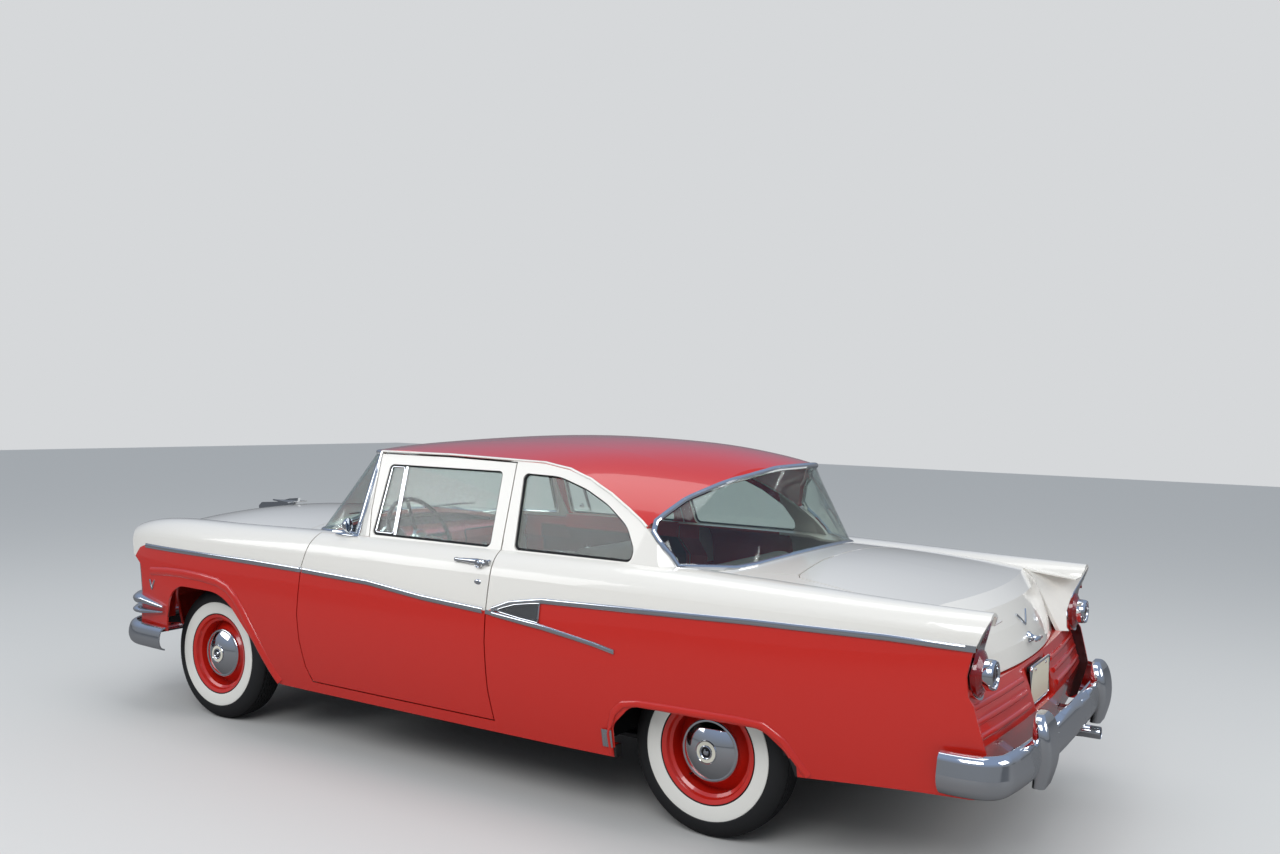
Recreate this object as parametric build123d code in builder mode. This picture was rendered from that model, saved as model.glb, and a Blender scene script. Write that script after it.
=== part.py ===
from build123d import *
from math import atan2, cos, degrees, radians, sin
import os

# Two-door sedan of the 1950s, full size, in millimetres.
# X points forward, Y to the car's left, Z up; Z = 0 is the ground under the tyres.

# Driving dimensions
wheelbase = 2934
front_axle_x = 1681
rear_axle_x = front_axle_x - wheelbase
front_track = 1473
rear_track = 1422
tyre_radius = 345
axle_z = tyre_radius
tyre_width = 175
bumper_x = 2521

# Wall thicknesses and shut lines
skin = 12
lid_wall = 20
pillar_wall = 30
glass_wall = 6
shut_gap = 6
door_lean = 0.2126

# Body sections, each the left half of the outside surface at one place along the car.
# Columns: x, bottom y, bottom z, widest y, widest z, shoulder y, shoulder z,
# crest y, crest z, gutter y, gutter z, middle z
body_rows = (
    (2480, 790, 300, 850, 740, 830, 890, 745, 962, 590, 925, 985),
    (2200, 850, 295, 905, 700, 880, 930, 775, 1022, 608, 985, 1045),
    (1700, 880, 290, 944, 680, 915, 945, 790, 1043, 640, 1010, 1092),
    (1200, 895, 285, 954, 670, 925, 950, 800, 1052, 655, 1026, 1100),
    (600, 905, 285, 961, 660, 930, 960, 815, 1062, 680, 1042, 1092),
    (-400, 908, 285, 962, 660, 930, 965, 830, 1066, 700, 1052, 1092),
    (-1100, 900, 290, 956, 680, 930, 965, 840, 1062, 710, 1050, 1098),
    (-1700, 885, 320, 944, 710, 922, 960, 850, 1042, 725, 1034, 1074),
    (-2150, 870, 370, 920, 740, 905, 955, 848, 1028, 735, 998, 1012),
    (-2430, 850, 400, 893, 760, 880, 950, 838, 1018, 745, 970, 975),
)

# Roof sections. Columns: x, drip y, drip z, crown z
roof_rows = (
    (1260, 690, 1290, 1340),
    (950, 690, 1405, 1455),
    (640, 689, 1463, 1505),
    (200, 690, 1460, 1545),
    (-200, 692, 1452, 1562),
    (-600, 713, 1394, 1556),
    (-900, 770, 1238, 1538),
    (-1100, 780, 1130, 1512),
    (-1320, 700, 1095, 1464),
    (-1460, 640, 1000, 1390),
)

# Plan of the glasshouse at two heights, from the middle of the glass outwards.
# Columns: height, front points (x, y), rear points (x, y)
glasshouse_rows = (
    (1040, ((1172, 0), (1035, 695), (884, 806), (606, 842)),
     ((-1395, 0), (-1332, 540), (-1226, 705), (-1062, 835))),
    (1470, ((846, 0), (785, 518), (698, 646), (638, 686)),
     ((-1310, 0), (-1240, 220), (-1108, 400), (-702, 773))),
)
glasshouse_floor = 1000
glasshouse_top = 1600
belt_y = 835
belt_z = 1065
tumblehome = 0.372
side_stretch = (1 + tumblehome ** 2) ** 0.5

# Side view outlines (x, z)
door_outline = ((852, 1100), (890, 1000), (918, 897), (927, 661), (911, 532), (880, 412), (840, 342),
                (-283, 342), (-258, 476), (-241, 682), (-240, 809), (-250, 1100))
drip_line = ((640, 1460), (209, 1458), (-182, 1450), (-348, 1446), (-492, 1425), (-614, 1388),
             (-737, 1333), (-836, 1278), (-911, 1232), (-944, 1208))
pillar_foot = ((-1076, 1097), (-1112, 1040))
backlight_top = ((-944, 1222), (-1026, 1330), (-1144, 1410), (-1251, 1457), (-1330, 1470))


def turned(chord_from, chord_to, heading):
    """Heading, in degrees, at the end of an arc that leaves chord_from along heading."""
    chord = degrees(atan2(chord_to[1] - chord_from[1], chord_to[0] - chord_from[0]))
    return 2 * chord - heading


def parallel(points, heading, inset):
    """Points of a chain of tangent arcs, moved by inset to the left of its direction."""
    moved = []
    last = None
    for point in points:
        if last is not None:
            heading = turned(last, point, heading)
        moved.append((point[0] - inset * sin(radians(heading)), point[1] + inset * cos(radians(heading))))
        last = point
    return moved


def arc_chain(points, heading):
    """Tangent arcs through the points, drawn into the open BuildLine."""
    for start, end in zip(points, points[1:]):
        TangentArc(start, end, tangent=(cos(radians(heading)), sin(radians(heading))))
        heading = turned(start, end, heading)
    return heading


def body_solid(inset, drop):
    """Left half of the body as one solid, its surface moved in by inset, its floor lowered by drop."""
    with BuildPart() as half:
        for row in body_rows:
            x, bottom_y, bottom_z, wide_y, wide_z, shoulder_y, shoulder_z = row[:7]
            crest_y, crest_z, gutter_y, gutter_z, middle_z = row[7:]
            flank = parallel(((wide_y, wide_z), (shoulder_y, shoulder_z), (crest_y, crest_z),
                              (gutter_y, gutter_z)), 90, inset)
            foot = (bottom_y - inset, bottom_z - drop)
            middle = (0, middle_z - inset)
            with BuildSketch(Plane.YZ.offset(x)):
                with BuildLine():
                    arc_chain(flank, 90)
                    TangentArc(middle, flank[-1], tangent=(1, 0))
                    Polyline(middle, (0, foot[1]), foot)
                    TangentArc(flank[0], foot, tangent=(0, -1))
                make_face()
        loft()
    return half.part


def glasshouse_points(column, height):
    """Front or rear plan points of the glasshouse at a height, in line with its two rows."""
    low, high = glasshouse_rows
    share = (height - low[0]) / (high[0] - low[0])
    return [(a[0] + share * (b[0] - a[0]), a[1] + share * (b[1] - a[1])) for a, b in zip(low[column], high[column])]


def glasshouse_solid(inset):
    """Left half of the glasshouse and roof as one solid, its surface moved in by inset."""
    with BuildPart() as roof_half:
        for x, drip_y, drip_z, crown_z in roof_rows:
            fall = crown_z - drip_z
            points = parallel(((0, crown_z), (0.6 * drip_y, crown_z - 0.3 * fall), (drip_y, drip_z)), 0, -inset)
            heading = turned((0.6 * drip_y, crown_z - 0.3 * fall), (drip_y, drip_z),
                             turned((0, crown_z), (0.6 * drip_y, crown_z - 0.3 * fall), 0))
            eave = (points[-1][0] + 220 * cos(radians(heading)), points[-1][1] + 220 * sin(radians(heading)))
            with BuildSketch(Plane.YZ.offset(x)):
                with BuildLine():
                    arc_chain(points, 0)
                    Polyline(points[-1], eave, (eave[0], 500), (0, 500), points[0])
                make_face()
        loft()
    with BuildPart() as plan_half:
        for height in (glasshouse_floor, glasshouse_top):
            front_points = parallel(glasshouse_points(1, height), 90, inset)
            rear_points = parallel(glasshouse_points(2, height), 90, -inset)
            with BuildSketch(Plane.XY.offset(height)):
                with BuildLine():
                    front_heading = arc_chain(front_points, 90)
                    rear_heading = arc_chain(rear_points, 90)
                    front_end = front_points[-1]
                    rear_end = rear_points[-1]
                    reach = 200
                    front_far = (front_end[0] + reach * cos(radians(front_heading)),
                                 front_end[1] + reach * sin(radians(front_heading)))
                    rear_far = (rear_end[0] + reach * cos(radians(rear_heading)),
                                rear_end[1] + reach * sin(radians(rear_heading)))
                    Polyline(front_end, front_far, (front_far[0], 1100), (rear_far[0], 1100), rear_far, rear_end)
                    Line(rear_points[0], front_points[0])
                make_face()
        loft(ruled=True)
    with BuildPart() as tub:
        with BuildSketch(Plane.YZ.offset(-1600)):
            side_inset = inset * side_stretch
            low_z = glasshouse_floor
            high_z = glasshouse_top
            with BuildLine():
                Polyline((0, low_z), (belt_y - side_inset - tumblehome * (low_z - belt_z), low_z),
                         (belt_y - side_inset - tumblehome * (high_z - belt_z), high_z), (0, high_z), close=True)
            make_face()
        extrude(amount=3000)
        add(roof_half.part, mode=Mode.INTERSECT)
        add(plan_half.part, mode=Mode.INTERSECT)
    return tub.part


def side_prism(points, y_from, y_to, lean=0, grow=0, corners=None):
    """Side view outline extruded across the car, leaning forward by lean for each mm inwards.
    Corners gives the radius of each corner, or none for sharp ones."""
    with BuildPart() as prism:
        with BuildSketch(Plane(origin=(-lean * (y_to - 950), y_to, 0), x_dir=(1, 0, 0), z_dir=(0, -1, 0))):
            with BuildLine():
                if corners:
                    FilletPolyline(*points, radius=corners, close=True)
                else:
                    Polyline(*points, close=True)
            make_face()
            if grow:
                offset(amount=grow, kind=Kind.INTERSECTION)
        depth = y_to - y_from
        extrude(amount=depth * (1 + lean ** 2) ** 0.5, dir=(lean, -1, 0))
    return prism.part


def plan_prism(points, z_from, z_to):
    """Plan outline extruded upwards."""
    with BuildPart() as prism:
        with BuildSketch(Plane.XY.offset(z_from)):
            with BuildLine():
                Polyline(*points, close=True)
            make_face()
        extrude(amount=z_to - z_from)
    return prism.part


def mirrored(shape):
    """The same shape on the right of the car."""
    return mirror(shape, about=Plane.XZ)


def finish(shape, name):
    """Labels one piece and writes it."""
    solids = shape.solids()
    piece = solids[0] if len(solids) == 1 else Compound(children=list(solids))
    piece.label = name
    export_step(piece, f"parts/{name}.step")
    print(name, len(solids), round(sum(s.volume for s in solids) / 1e6, 2))


def finish_pair(shape, name):
    """Writes a left piece and its mirror image."""
    finish(shape, name + "_left")
    finish(mirrored(shape), name + "_right")


def finish_across(shape, name):
    """Writes a piece that runs across the car, from its left half."""
    with BuildPart() as whole:
        add(shape)
        mirror(about=Plane.XZ)
    finish(whole.part, name)


os.makedirs("parts", exist_ok=True)

# Surfaces that the panels are cut from
outside = body_solid(0, 0)
skin_inside = body_solid(skin, 60)
lid_inside = body_solid(lid_wall, 60)
body_skin = outside - skin_inside
roof_outside = glasshouse_solid(0)
roof_inside = glasshouse_solid(pillar_wall)
roof_shell = roof_outside - roof_inside

# Hinges of the hood and the trunk lid: knuckles in the shut lines, pins (x, z) just under the surface
hood_rear_x = 1200
hood_pin = (hood_rear_x - shut_gap / 2, 1095.5)
trunk_pin = (-1509.3, 1084.5)
knuckle_r = 3.5
knuckle_y = (60, 110, 160)
knuckle_gap = 0.3

# Revolved ends of the body: the hood's and grille's face, and the trunk's face
nose_sweep = 3000
tail_sweep = 3160
panel_sweep = 9000
nose_profile = ((2405, 1100), (2438, 985), (2446, 940), (2430, 880), (2405, 800), (2400, 640), (2415, 560),
                (2380, 440), (2330, 330))
tail_profile = ((-2080, 1100), (-2175, 1012), (-2238, 960), (-2274, 878), (-2298, 811), (-2318, 735),
                (-2345, 660), (-2376, 560), (-2340, 400))


def swept_end(profile, sweep, inset, direction):
    """Everything behind a face that is curved in plan with radius sweep."""
    middle_x = profile[4][0] - direction * sweep
    with BuildPart() as end:
        with BuildSketch(Plane.XZ):
            with BuildLine():
                Polyline((middle_x, profile[0][1]), *[(x - direction * inset, z) for x, z in profile],
                         (middle_x, profile[-1][1]), close=True)
            make_face()
        revolve(axis=Axis((middle_x, 0, 0), (0, 0, 1)), revolution_arc=360)
    return end.part


nose_outside = swept_end(nose_profile, nose_sweep, 0, 1)
nose_inside = swept_end(nose_profile, nose_sweep, lid_wall, 1)
tail_outside = swept_end(tail_profile, tail_sweep, 0, -1)
tail_inside = swept_end(tail_profile, tail_sweep, lid_wall, -1)
panel_outside = swept_end(tail_profile, panel_sweep, 0, -1)
panel_inside = swept_end(tail_profile, panel_sweep, lid_wall, -1)

# Regions
door_region = side_prism(door_outline, 735, 1010, door_lean)
rocker_front_x = 810
hood_edge = ((hood_rear_x, 652), (1700, 637), (2200, 605), (2400, 592), (2520, 580))
lid_edge = ((-1508, 0), (-1512, 300), (-1541, 590), (-1560, 625), (-1821, 702), (-1990, 712), (-2120, 660),
            (-2420, 630))


def across_prism(points, x_from, x_to):
    """Cross-section outline (y, z) extruded along the car."""
    with BuildPart() as prism:
        with BuildSketch(Plane.YZ.offset(x_from)):
            with BuildLine():
                Polyline(*points, close=True)
            make_face()
        extrude(amount=x_to - x_from)
    return prism.part


def hinge_barrel(pin, place, clear=0):
    """Knuckle of a lid's hinge: place 0 is the lid's, place 1 the body's beside it."""
    y_from = knuckle_y[place] + (knuckle_gap if place else 0) - clear
    y_to = knuckle_y[place + 1] + clear
    return Pos(pin[0], y_from, pin[1]) * Rot(-90, 0, 0) * Cylinder(
        knuckle_r + clear, y_to - y_from, align=(Align.CENTER, Align.CENTER, Align.MIN))


def block(x_from, x_to, y_from, y_to, z_from, z_to):
    """Box by its six faces."""
    size = (x_to - x_from, y_to - y_from, z_to - z_from)
    middle = ((x_from + x_to) / 2, (y_from + y_to) / 2, (z_from + z_to) / 2)
    return Pos(*middle) * Box(*size)


# Frame rails
rail_y = (380, 440)
rail_front_x = 2325
rail_rear_x = -2300
rest_gap = 0.3
pipe_r = 24

# Walls that are as thick as the whole door
door_inner_y = 868
door_ledge_y = 765
wall_outline = ((door_inner_y, 200), (door_inner_y, 880), (door_ledge_y, 985), (door_ledge_y, 1100),
                (1100, 1100), (1100, 200))
thick_wall = across_prism(wall_outline, -930, 1130)

# Doors: lower slab and window frame
window_outline = ((560, belt_z + 4), (567, 1402), (-130, 1402), (-163, belt_z + 4))
window_corner = 24
frame_outline = ((543, 1050), (569, 1181), (576, 1322), (581, 1448), (150, 1449), (-247, 1441), (-248, 1050))
cowl_foot_y = 836
pillar_front_x = 960
pillar_rear_x = 566
door_slab = (outside & door_region) & thick_wall
door_slab = door_slab - block(pillar_rear_x, pillar_front_x, 700, cowl_foot_y + 4, 900, 1100)
frame_prism = side_prism(frame_outline, 600, 870, door_lean)
window_prism = side_prism(window_outline, 600, 1010, corners=window_corner)
door_frame = (roof_shell & frame_prism) - window_prism
door_body = door_slab + door_frame
finish_pair(door_body, "door")
glass_band = glasshouse_solid(12) - glasshouse_solid(12 + glass_wall)
finish_pair(glass_band & side_prism(window_outline, 600, 1010, 0, -0.3, window_corner), "door_glass")

# Front fenders
front_arch = ((2030, 100), (1985, 480), (1930, 703), (1480, 703), (1240, 460), (960, 100))
rear_arch = ((-905, 100), (-898, 425), (-990, 520), (-1560, 520), (-1660, 440), (-1750, 100))


def arch_prism(points, radius):
    """Wheel opening, rounded at its corners."""
    with BuildPart() as prism:
        with BuildSketch(Plane.XZ.offset(-1020)):
            with BuildLine():
                FilletPolyline(*points, radius=radius, close=False)
                Line(points[-1], points[0])
            make_face()
        extrude(amount=320)
    return prism.part


cowl_corner = ((hood_rear_x - shut_gap, 651), (1074, 708), (903, cowl_foot_y))
front_opening = arch_prism(front_arch, [300, 150, 300, 300])
rear_opening = arch_prism(rear_arch, [60, 90, 110, 110])
door_clearance = side_prism(door_outline, 735, 1010, door_lean, shut_gap)

# Front end of the fender: plan of its nose at the lamp's brow, and how far it lies back at each height
fender_plan = ((0, 0), (2458, 0), (2458, 690), (2440, 770), (2405, 830), (2360, 875), (2290, 915), (2150, 965),
               (2000, 1000), (0, 1000))
# Columns: height, set back
fender_brow = ((150, 110), (640, 98), (728, 85), (780, 76), (826, 22), (900, 0), (950, 6), (985, 22), (1010, 55),
               (1030, 110), (1200, 130))


def fender_nose(inset):
    """Everything behind the front end of the fender, moved in by inset."""
    with BuildPart() as nose:
        for height, back in fender_brow:
            with BuildSketch(Plane.XY.offset(height)):
                with BuildLine():
                    Polyline(*[(x - back - inset if x else 0, max(y - inset, 0)) for x, y in fender_plan], close=True)
                make_face()
        loft(ruled=True)
    return nose.part


fender_foot_z = 440
fender_foot = block(1990, 2600, 400, 1010, 100, fender_foot_z)
fender_outer = (outside & fender_nose(0)) - fender_foot
fender_hollow = skin_inside & fender_nose(skin)
fender_plan_region = plan_prism([(x, y + shut_gap / 2) for x, y in hood_edge] +
                                [(2520, 1010), (rocker_front_x, 1010), (rocker_front_x, cowl_foot_y),
                                 *reversed(cowl_corner)], 150, 1300)
headlamp_y = 705
headlamp_z = 872
headlamp_r = 100
lamp_bore = Pos(2400, headlamp_y, headlamp_z) * Rot(0, 90, 0) * Cylinder(headlamp_r, 240)
sill_top_z = 342 - shut_gap
fender_sill = (outside & thick_wall) & block(rocker_front_x, 1130, 700, 1010, 200, sill_top_z)
fender = ((fender_outer - fender_hollow) & fender_plan_region) + fender_sill
fender = fender - front_opening - door_clearance - lamp_bore
finish_pair(fender, "fender")

# Rear quarters, with sills, lock pillars and roof pillars
deck_edge = ((-1000, door_ledge_y - 25), (-1130, 700), (-1541, 596))
quarter_plan_region = plan_prism([(rocker_front_x, 1010), (rocker_front_x, door_ledge_y - 25), *deck_edge,
                                  *[(x, y + shut_gap) for x, y in lid_edge[3:]], (-2500, 640), (-2500, 1010)],
                                 150, 1300)
quarter_profile = ((900, 1200), (-2362, 1200), (-2366, 1010), (-2318, 895), (-2303, 818), (-2311, 749),
                   (-2330, 721), (-2372, 560), (-2330, 400), (-2330, 200), (900, 200))
quarter = (body_skin & quarter_plan_region) & side_prism(quarter_profile, 400, 1010)
trunk_lip_z = 741
panel_top_z = trunk_lip_z - shut_gap
tail_wall = (tail_outside - tail_inside) & skin_inside
lamp_wall = (tail_wall & quarter_plan_region) & block(-2450, -2100, 600, 1000, panel_top_z, 1040)

# Inner face of the fin, leaning from the lid's corner out to the lamp
fin_foot = ((-2100, 526), (-2400, 724))
fin_wall_y = 14
fin_rise = 305
fin_lean = 0.42


def fin_side(y_from, y_to):
    """Leaning wall between two distances outboard of the fin's inner face."""
    with BuildPart() as side:
        with BuildSketch(Plane.XY.offset(panel_top_z)):
            with BuildLine():
                Polyline(*[(x, y + y_from) for x, y in fin_foot], *[(x, y + y_to) for x, y in reversed(fin_foot)],
                         close=True)
            make_face()
        extrude(amount=fin_rise * (1 + fin_lean ** 2) ** 0.5, dir=(0, fin_lean, 1))
    return side.part


fin_wall = fin_side(0, fin_wall_y) & (outside - tail_outside) & quarter_plan_region
fin_wall = fin_wall & side_prism(quarter_profile, 400, 1010)
sill = (outside & thick_wall) & block(-930, rocker_front_x, 700, 1010, 200, sill_top_z)
lock_pillar = (outside & thick_wall) & block(-340, -160, 700, 1010, 200, 1100)
quarter = quarter + lamp_wall + fin_wall + sill + lock_pillar
quarter_window = ((-295, belt_z + 5), (-248, 1400), (-450, 1395), (-605, 1350), (-732, 1292), (-847, 1212),
                  (-905, 1120), (-899, belt_z + 5))
side_panel_outline = [(-160, 1045), (-160, 1449)]
side_panel_outline += [(x, z) for x, z in drip_line if x < -160] + list(pillar_foot)
side_panel = roof_shell & side_prism(side_panel_outline, 600, 900)
frame_clearance = side_prism(frame_outline, 600, 870, door_lean, shut_gap)
side_panel = side_panel - frame_clearance
quarter_corners = [24, 24, 300, 400, 350, 150, 60, 25]
quarter_hole = side_prism(quarter_window, 600, 1010, corners=quarter_corners)
quarter = (quarter + side_panel) - rear_opening - door_clearance - frame_clearance - quarter_hole
finish_pair(quarter, "quarter")
quarter_glass = glass_band & quarter_hole
finish_across(quarter_glass, "quarter_glass")

# Roof
roof_outline = [(1000, 1455), (640, 1458)] + list(drip_line[1:]) + list(backlight_top) + [(-1400, 1700), (1000, 1700)]
roof = roof_shell & side_prism(roof_outline, -5, 900)
finish_across(roof, "roof")

# Cowl, with the windscreen pillars and the hinge pillars
cowl_plan = [(cowl_corner[0][0], 0), *cowl_corner, (pillar_rear_x + 3, cowl_foot_y), (pillar_rear_x + 3, 0)]
cowl_top = (outside - lid_inside) & plan_prism(cowl_plan, 850, 1300)
glass_seat = glasshouse_solid(34)
cowl_top = cowl_top - glass_seat - frame_clearance
screen_edge = ((645, 1040), (646, 1154), (647, 1321), (650, 1457))
pillar_outline = [(632, 1457), (560, 1040)] + list(screen_edge)
screen_pillar = (roof_shell & side_prism(pillar_outline, 600, 900)) - frame_clearance
hinge_pillar = lid_inside & block(948, 988, 640, 1010, sill_top_z + rest_gap, 1060)
firewall_x = 1150
cowl_foot_room = block(pillar_rear_x + 1, pillar_front_x - 1, 700, cowl_foot_y + 1, 905, 1110)
cowl = ((cowl_top + screen_pillar) - (door_clearance - cowl_foot_room)) + hinge_pillar
cowl = (cowl - hinge_barrel(hood_pin, 0, knuckle_gap)) + hinge_barrel(hood_pin, 1)
finish_across(cowl, "cowl")

# Windscreen and rear window
glass_clearance = 2
screen_side = side_prism([(x + glass_clearance, z) for x, z in screen_edge[:-1]] +
                         [(652, 1453), (1300, 1453), (1300, 1000)], -5, 900)
outer_glass = glasshouse_solid(glass_clearance) - glasshouse_solid(glass_clearance + glass_wall)
windshield = (outer_glass & screen_side) - outside
finish_across(windshield, "windshield")
rear_glass_outline = [(x - 4, z - 4) for x, z in backlight_top] + [(-1500, 1460), (-1500, 1000), (-1114, 1000)]
rear_glass_outline += [(x - 4, z) for x, z in reversed(pillar_foot)]
rear_glass = (outer_glass & side_prism(rear_glass_outline, -5, 900)) - outside
finish_across(rear_glass, "rear_window")

# Deck between the rear window and the trunk, with the parcel shelf
deck_plan = [(-1000, 0), *deck_edge[:2], (-1538, 594), (-1509, 300), (-1505, 0)]
deck = ((outside - lid_inside) & plan_prism(deck_plan, 850, 1300)) - glass_seat
deck = (deck - hinge_barrel(trunk_pin, 0, knuckle_gap)) + hinge_barrel(trunk_pin, 1)
finish_across(deck, "rear_deck")

# Hood and trunk lid
hood_plan = [(hood_rear_x, 0)] + [(x, y - shut_gap / 2) for x, y in hood_edge] + [(2520, 0)]
hood_lip_z = 905
hood = (outside & nose_outside) - (lid_inside & nose_inside)
hood = hood & plan_prism(hood_plan, hood_lip_z, 1300)
hood = (hood - hinge_barrel(hood_pin, 1, knuckle_gap)) + hinge_barrel(hood_pin, 0)
finish_across(hood, "hood_panel")
trunk = (outside & tail_outside) - (lid_inside & tail_inside)
trunk_plan = [(x - 3, y) if y < 600 else (x, y) for x, y in lid_edge] + [(-2420, 0)]
trunk = trunk & plan_prism(trunk_plan, trunk_lip_z, 1300)
trunk = (trunk - hinge_barrel(trunk_pin, 1, knuckle_gap)) + hinge_barrel(trunk_pin, 0)
finish_across(trunk, "trunk_lid")

# Front panel with its grille
grille_y = 560
grille_z = 716
grille_height = 250
with BuildPart() as grille_mouth:
    with BuildSketch(Plane.YZ.offset(2200)):
        with Locations((0, grille_z)):
            RectangleRounded(2 * grille_y, grille_height, 110)
    extrude(amount=320)
nose_wall = (nose_outside - nose_inside) & outside
front_panel = nose_wall & block(2200, 2500, 0, 586, 395, hood_lip_z - shut_gap)
front_panel = front_panel - grille_mouth.part - block(2200, 2500, rail_y[0] - rest_gap, rail_y[1] + rest_gap, 390, 443)
finish_across(front_panel, "front_panel")
grille_depth = 45
bar_step = 62
bar_height = 14
fin_step = 70
grille_band = swept_end(nose_profile, nose_sweep, 8, 1) - swept_end(nose_profile, nose_sweep, 8 + grille_depth, 1)
with BuildPart() as lattice:
    with BuildSketch(Plane.YZ.offset(2250)):
        with Locations((0, grille_z)):
            RectangleRounded(2 * grille_y - 1, grille_height - 1, 109.5)
            RectangleRounded(2 * grille_y - 30, grille_height - 30, 95, mode=Mode.SUBTRACT)
            with GridLocations(0, bar_step, 1, 3):
                Rectangle(2 * grille_y - 32, bar_height)
            with GridLocations(fin_step, 0, 15, 1):
                Rectangle(5, grille_height - 20)
    extrude(amount=220)
    add(grille_band, mode=Mode.INTERSECT)
finish(lattice.part, "grille")

# Tail panel below the trunk lid
panel_lip = 12
tail_panel = (panel_outside - panel_inside) & block(-2450, -2150, 0, 1000, 402, panel_top_z)
tail_lip = (panel_outside - tail_inside) & block(-2450, -2100, 0, 1000, panel_top_z - panel_lip, panel_top_z)
tail_panel = (tail_panel + tail_lip) & skin_inside
tail_panel = tail_panel - block(-2450, -2150, rail_y[0] - 3, rail_y[1] + 3, 437, 458)
lamp_y = 793
lamp_z = 812
lamp_r = 90
tail_panel = tail_panel - Pos(-2300, lamp_y, lamp_z) * Rot(0, 90, 0) * Cylinder(lamp_r + 1, 400)

# Pocket for the licence plate, with the two upper screw holes that plates of this size share
plate_wall_x = -2322
plate_z = 643
plate_pocket_y = 172
plate_pocket_z = (556, 722)
plate_hole_spacing = 178
plate_hole_r = 3.5
plate_hole_z = plate_z + 60
pocket_box = block(-2395, plate_wall_x + lid_wall, 0, plate_pocket_y + skin, plate_pocket_z[0] - skin,
                   panel_top_z) & panel_outside
tail_panel = tail_panel + pocket_box - block(-2450, plate_wall_x, 0, plate_pocket_y, *plate_pocket_z)
plate_hole = Pos(plate_wall_x, plate_hole_spacing / 2, plate_hole_z) * Rot(0, 90, 0) * Cylinder(plate_hole_r, 100)
tail_panel = tail_panel - plate_hole
finish_across(tail_panel, "tail_panel")

# Tail lamps: peaked chrome pods with round lenses
pod_front_x = -2196
pod_rear_x = -2372
lens_r = 72
lens_ring_r = 54
pod_peak = (826, 1012)
pod_profile = ((-2150, 1100), (-2374, 1100), (-2366, 1012), (-2322, 895), (-2306, 818), (-2314, 749), (-2340, 700),
               (-2150, 700))
with BuildPart() as pod:
    with BuildSketch(Plane.YZ.offset(pod_rear_x - 10)):
        with Locations((lamp_y, lamp_z)):
            Circle(lamp_r)
        with BuildLine():
            Polyline((lamp_y - lamp_r + 3, lamp_z + 20), (pod_peak[0] - 32, pod_peak[1]), (pod_peak[0] + 14, pod_peak[1]),
                     (lamp_y + lamp_r - 3, lamp_z + 20), close=True)
        make_face()
    extrude(amount=pod_front_x - pod_rear_x + 10)
    add(side_prism(pod_profile, 600, 1000), mode=Mode.INTERSECT)
    with BuildSketch(Plane.YZ.offset(pod_rear_x - 10)):
        with Locations((lamp_y, lamp_z)):
            Circle(lens_r + 1)
    extrude(amount=100, mode=Mode.SUBTRACT)
pod_boss = Pos(-2250, lamp_y, lamp_z) * Rot(0, 90, 0) * Cylinder(lens_r + 6, 62)
tail_pod = (((pod.part + pod_boss) & skin_inside) - tail_outside) - fin_side(-200, fin_wall_y)
with BuildPart() as lens:
    with BuildSketch(Plane.XZ):
        with BuildLine():
            Polyline((-2283, 0), (-2283, lens_r), (-2322, lens_r))
            Line((-2322, lens_r), (-2336, lens_ring_r))
            Line((-2336, lens_ring_r), (-2362, lens_ring_r - 6))
            TangentArc((-2379, 0), (-2362, lens_ring_r - 6), tangent=(0, 1))
            Line((-2379, 0), (-2283, 0))
        make_face()
    revolve(axis=Axis.X)
tail_lens = Pos(0, lamp_y, lamp_z) * lens.part
finish_across(tail_pod, "tail_lamp_pods")
finish_across(tail_lens, "tail_lamp_lenses")

# Headlamps: bucket with its rim, and the lens
rim_front_x = 2392
with BuildPart() as bucket:
    with BuildSketch(Plane.XZ):
        with BuildLine():
            Polyline((2300, 0), (2300, 88), (2360, headlamp_r - 0.5), (rim_front_x, headlamp_r - 0.5), (rim_front_x, 90),
                     (2372, 88), (2372, 0), close=True)
        make_face()
    revolve(axis=Axis.X)
with BuildPart() as head_lens:
    with BuildSketch(Plane.XZ):
        with BuildLine():
            Polyline((2398, 0), (2372, 0), (2372, 86), (2376, 86))
            TangentArc((2398, 0), (2376, 86), tangent=(0, 1))
        make_face()
    revolve(axis=Axis.X)
finish_across(Pos(0, headlamp_y, headlamp_z) * bucket.part, "headlamp_rims")
finish_across(Pos(0, headlamp_y, headlamp_z) * head_lens.part, "headlamp_lenses")

# Bumpers: crowned blades swept round the car, with guards
blade_section = ((-40, 75), (-8, 48), (0, 0), (-8, -48), (-40, -75))
blade_wall = 8


def bumper(points, middle_z, direction, slim=1):
    """Half of a bumper blade along its plan curve, its section's height times slim."""
    path_points = [(direction * x, y) for x, y in points]
    section = [(x, slim * z) for x, z in blade_section]
    with BuildPart() as blade:
        with BuildLine() as path:
            arc_chain(path_points, 90)
        with BuildSketch(Plane(origin=(path_points[0][0], 0, 0), x_dir=(direction, 0, 0), z_dir=(0, -direction, 0))):
            with BuildLine():
                inner = parallel(section, 0, -blade_wall)
                arc_chain(section, 0)
                arc_chain(inner, 0)
                Line(section[0], inner[0])
                Line(section[-1], inner[-1])
            make_face()
        sweep(path=path.wire())
    return Pos(0, 0, middle_z) * blade.part


guard_y = 530
# Columns: height above the foot, half width, how far the face lies behind the front, depth
guard_rows = ((0, 66, 20, 45), (70, 78, 0, 62), (190, 92, 2, 62), (225, 84, 12, 52), (262, 40, 34, 28))


def guard(face_x, z_low, direction):
    """Shield-shaped guard on a bumper blade."""
    with BuildPart() as upright:
        for rise, half_width, back, depth in guard_rows:
            with BuildSketch(Plane.XY.offset(z_low + rise)):
                with Locations((direction * (face_x - back - depth / 2), guard_y)):
                    RectangleRounded(depth, 2 * half_width, min(depth, half_width) * 0.45)
        loft()
    return upright.part


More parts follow.
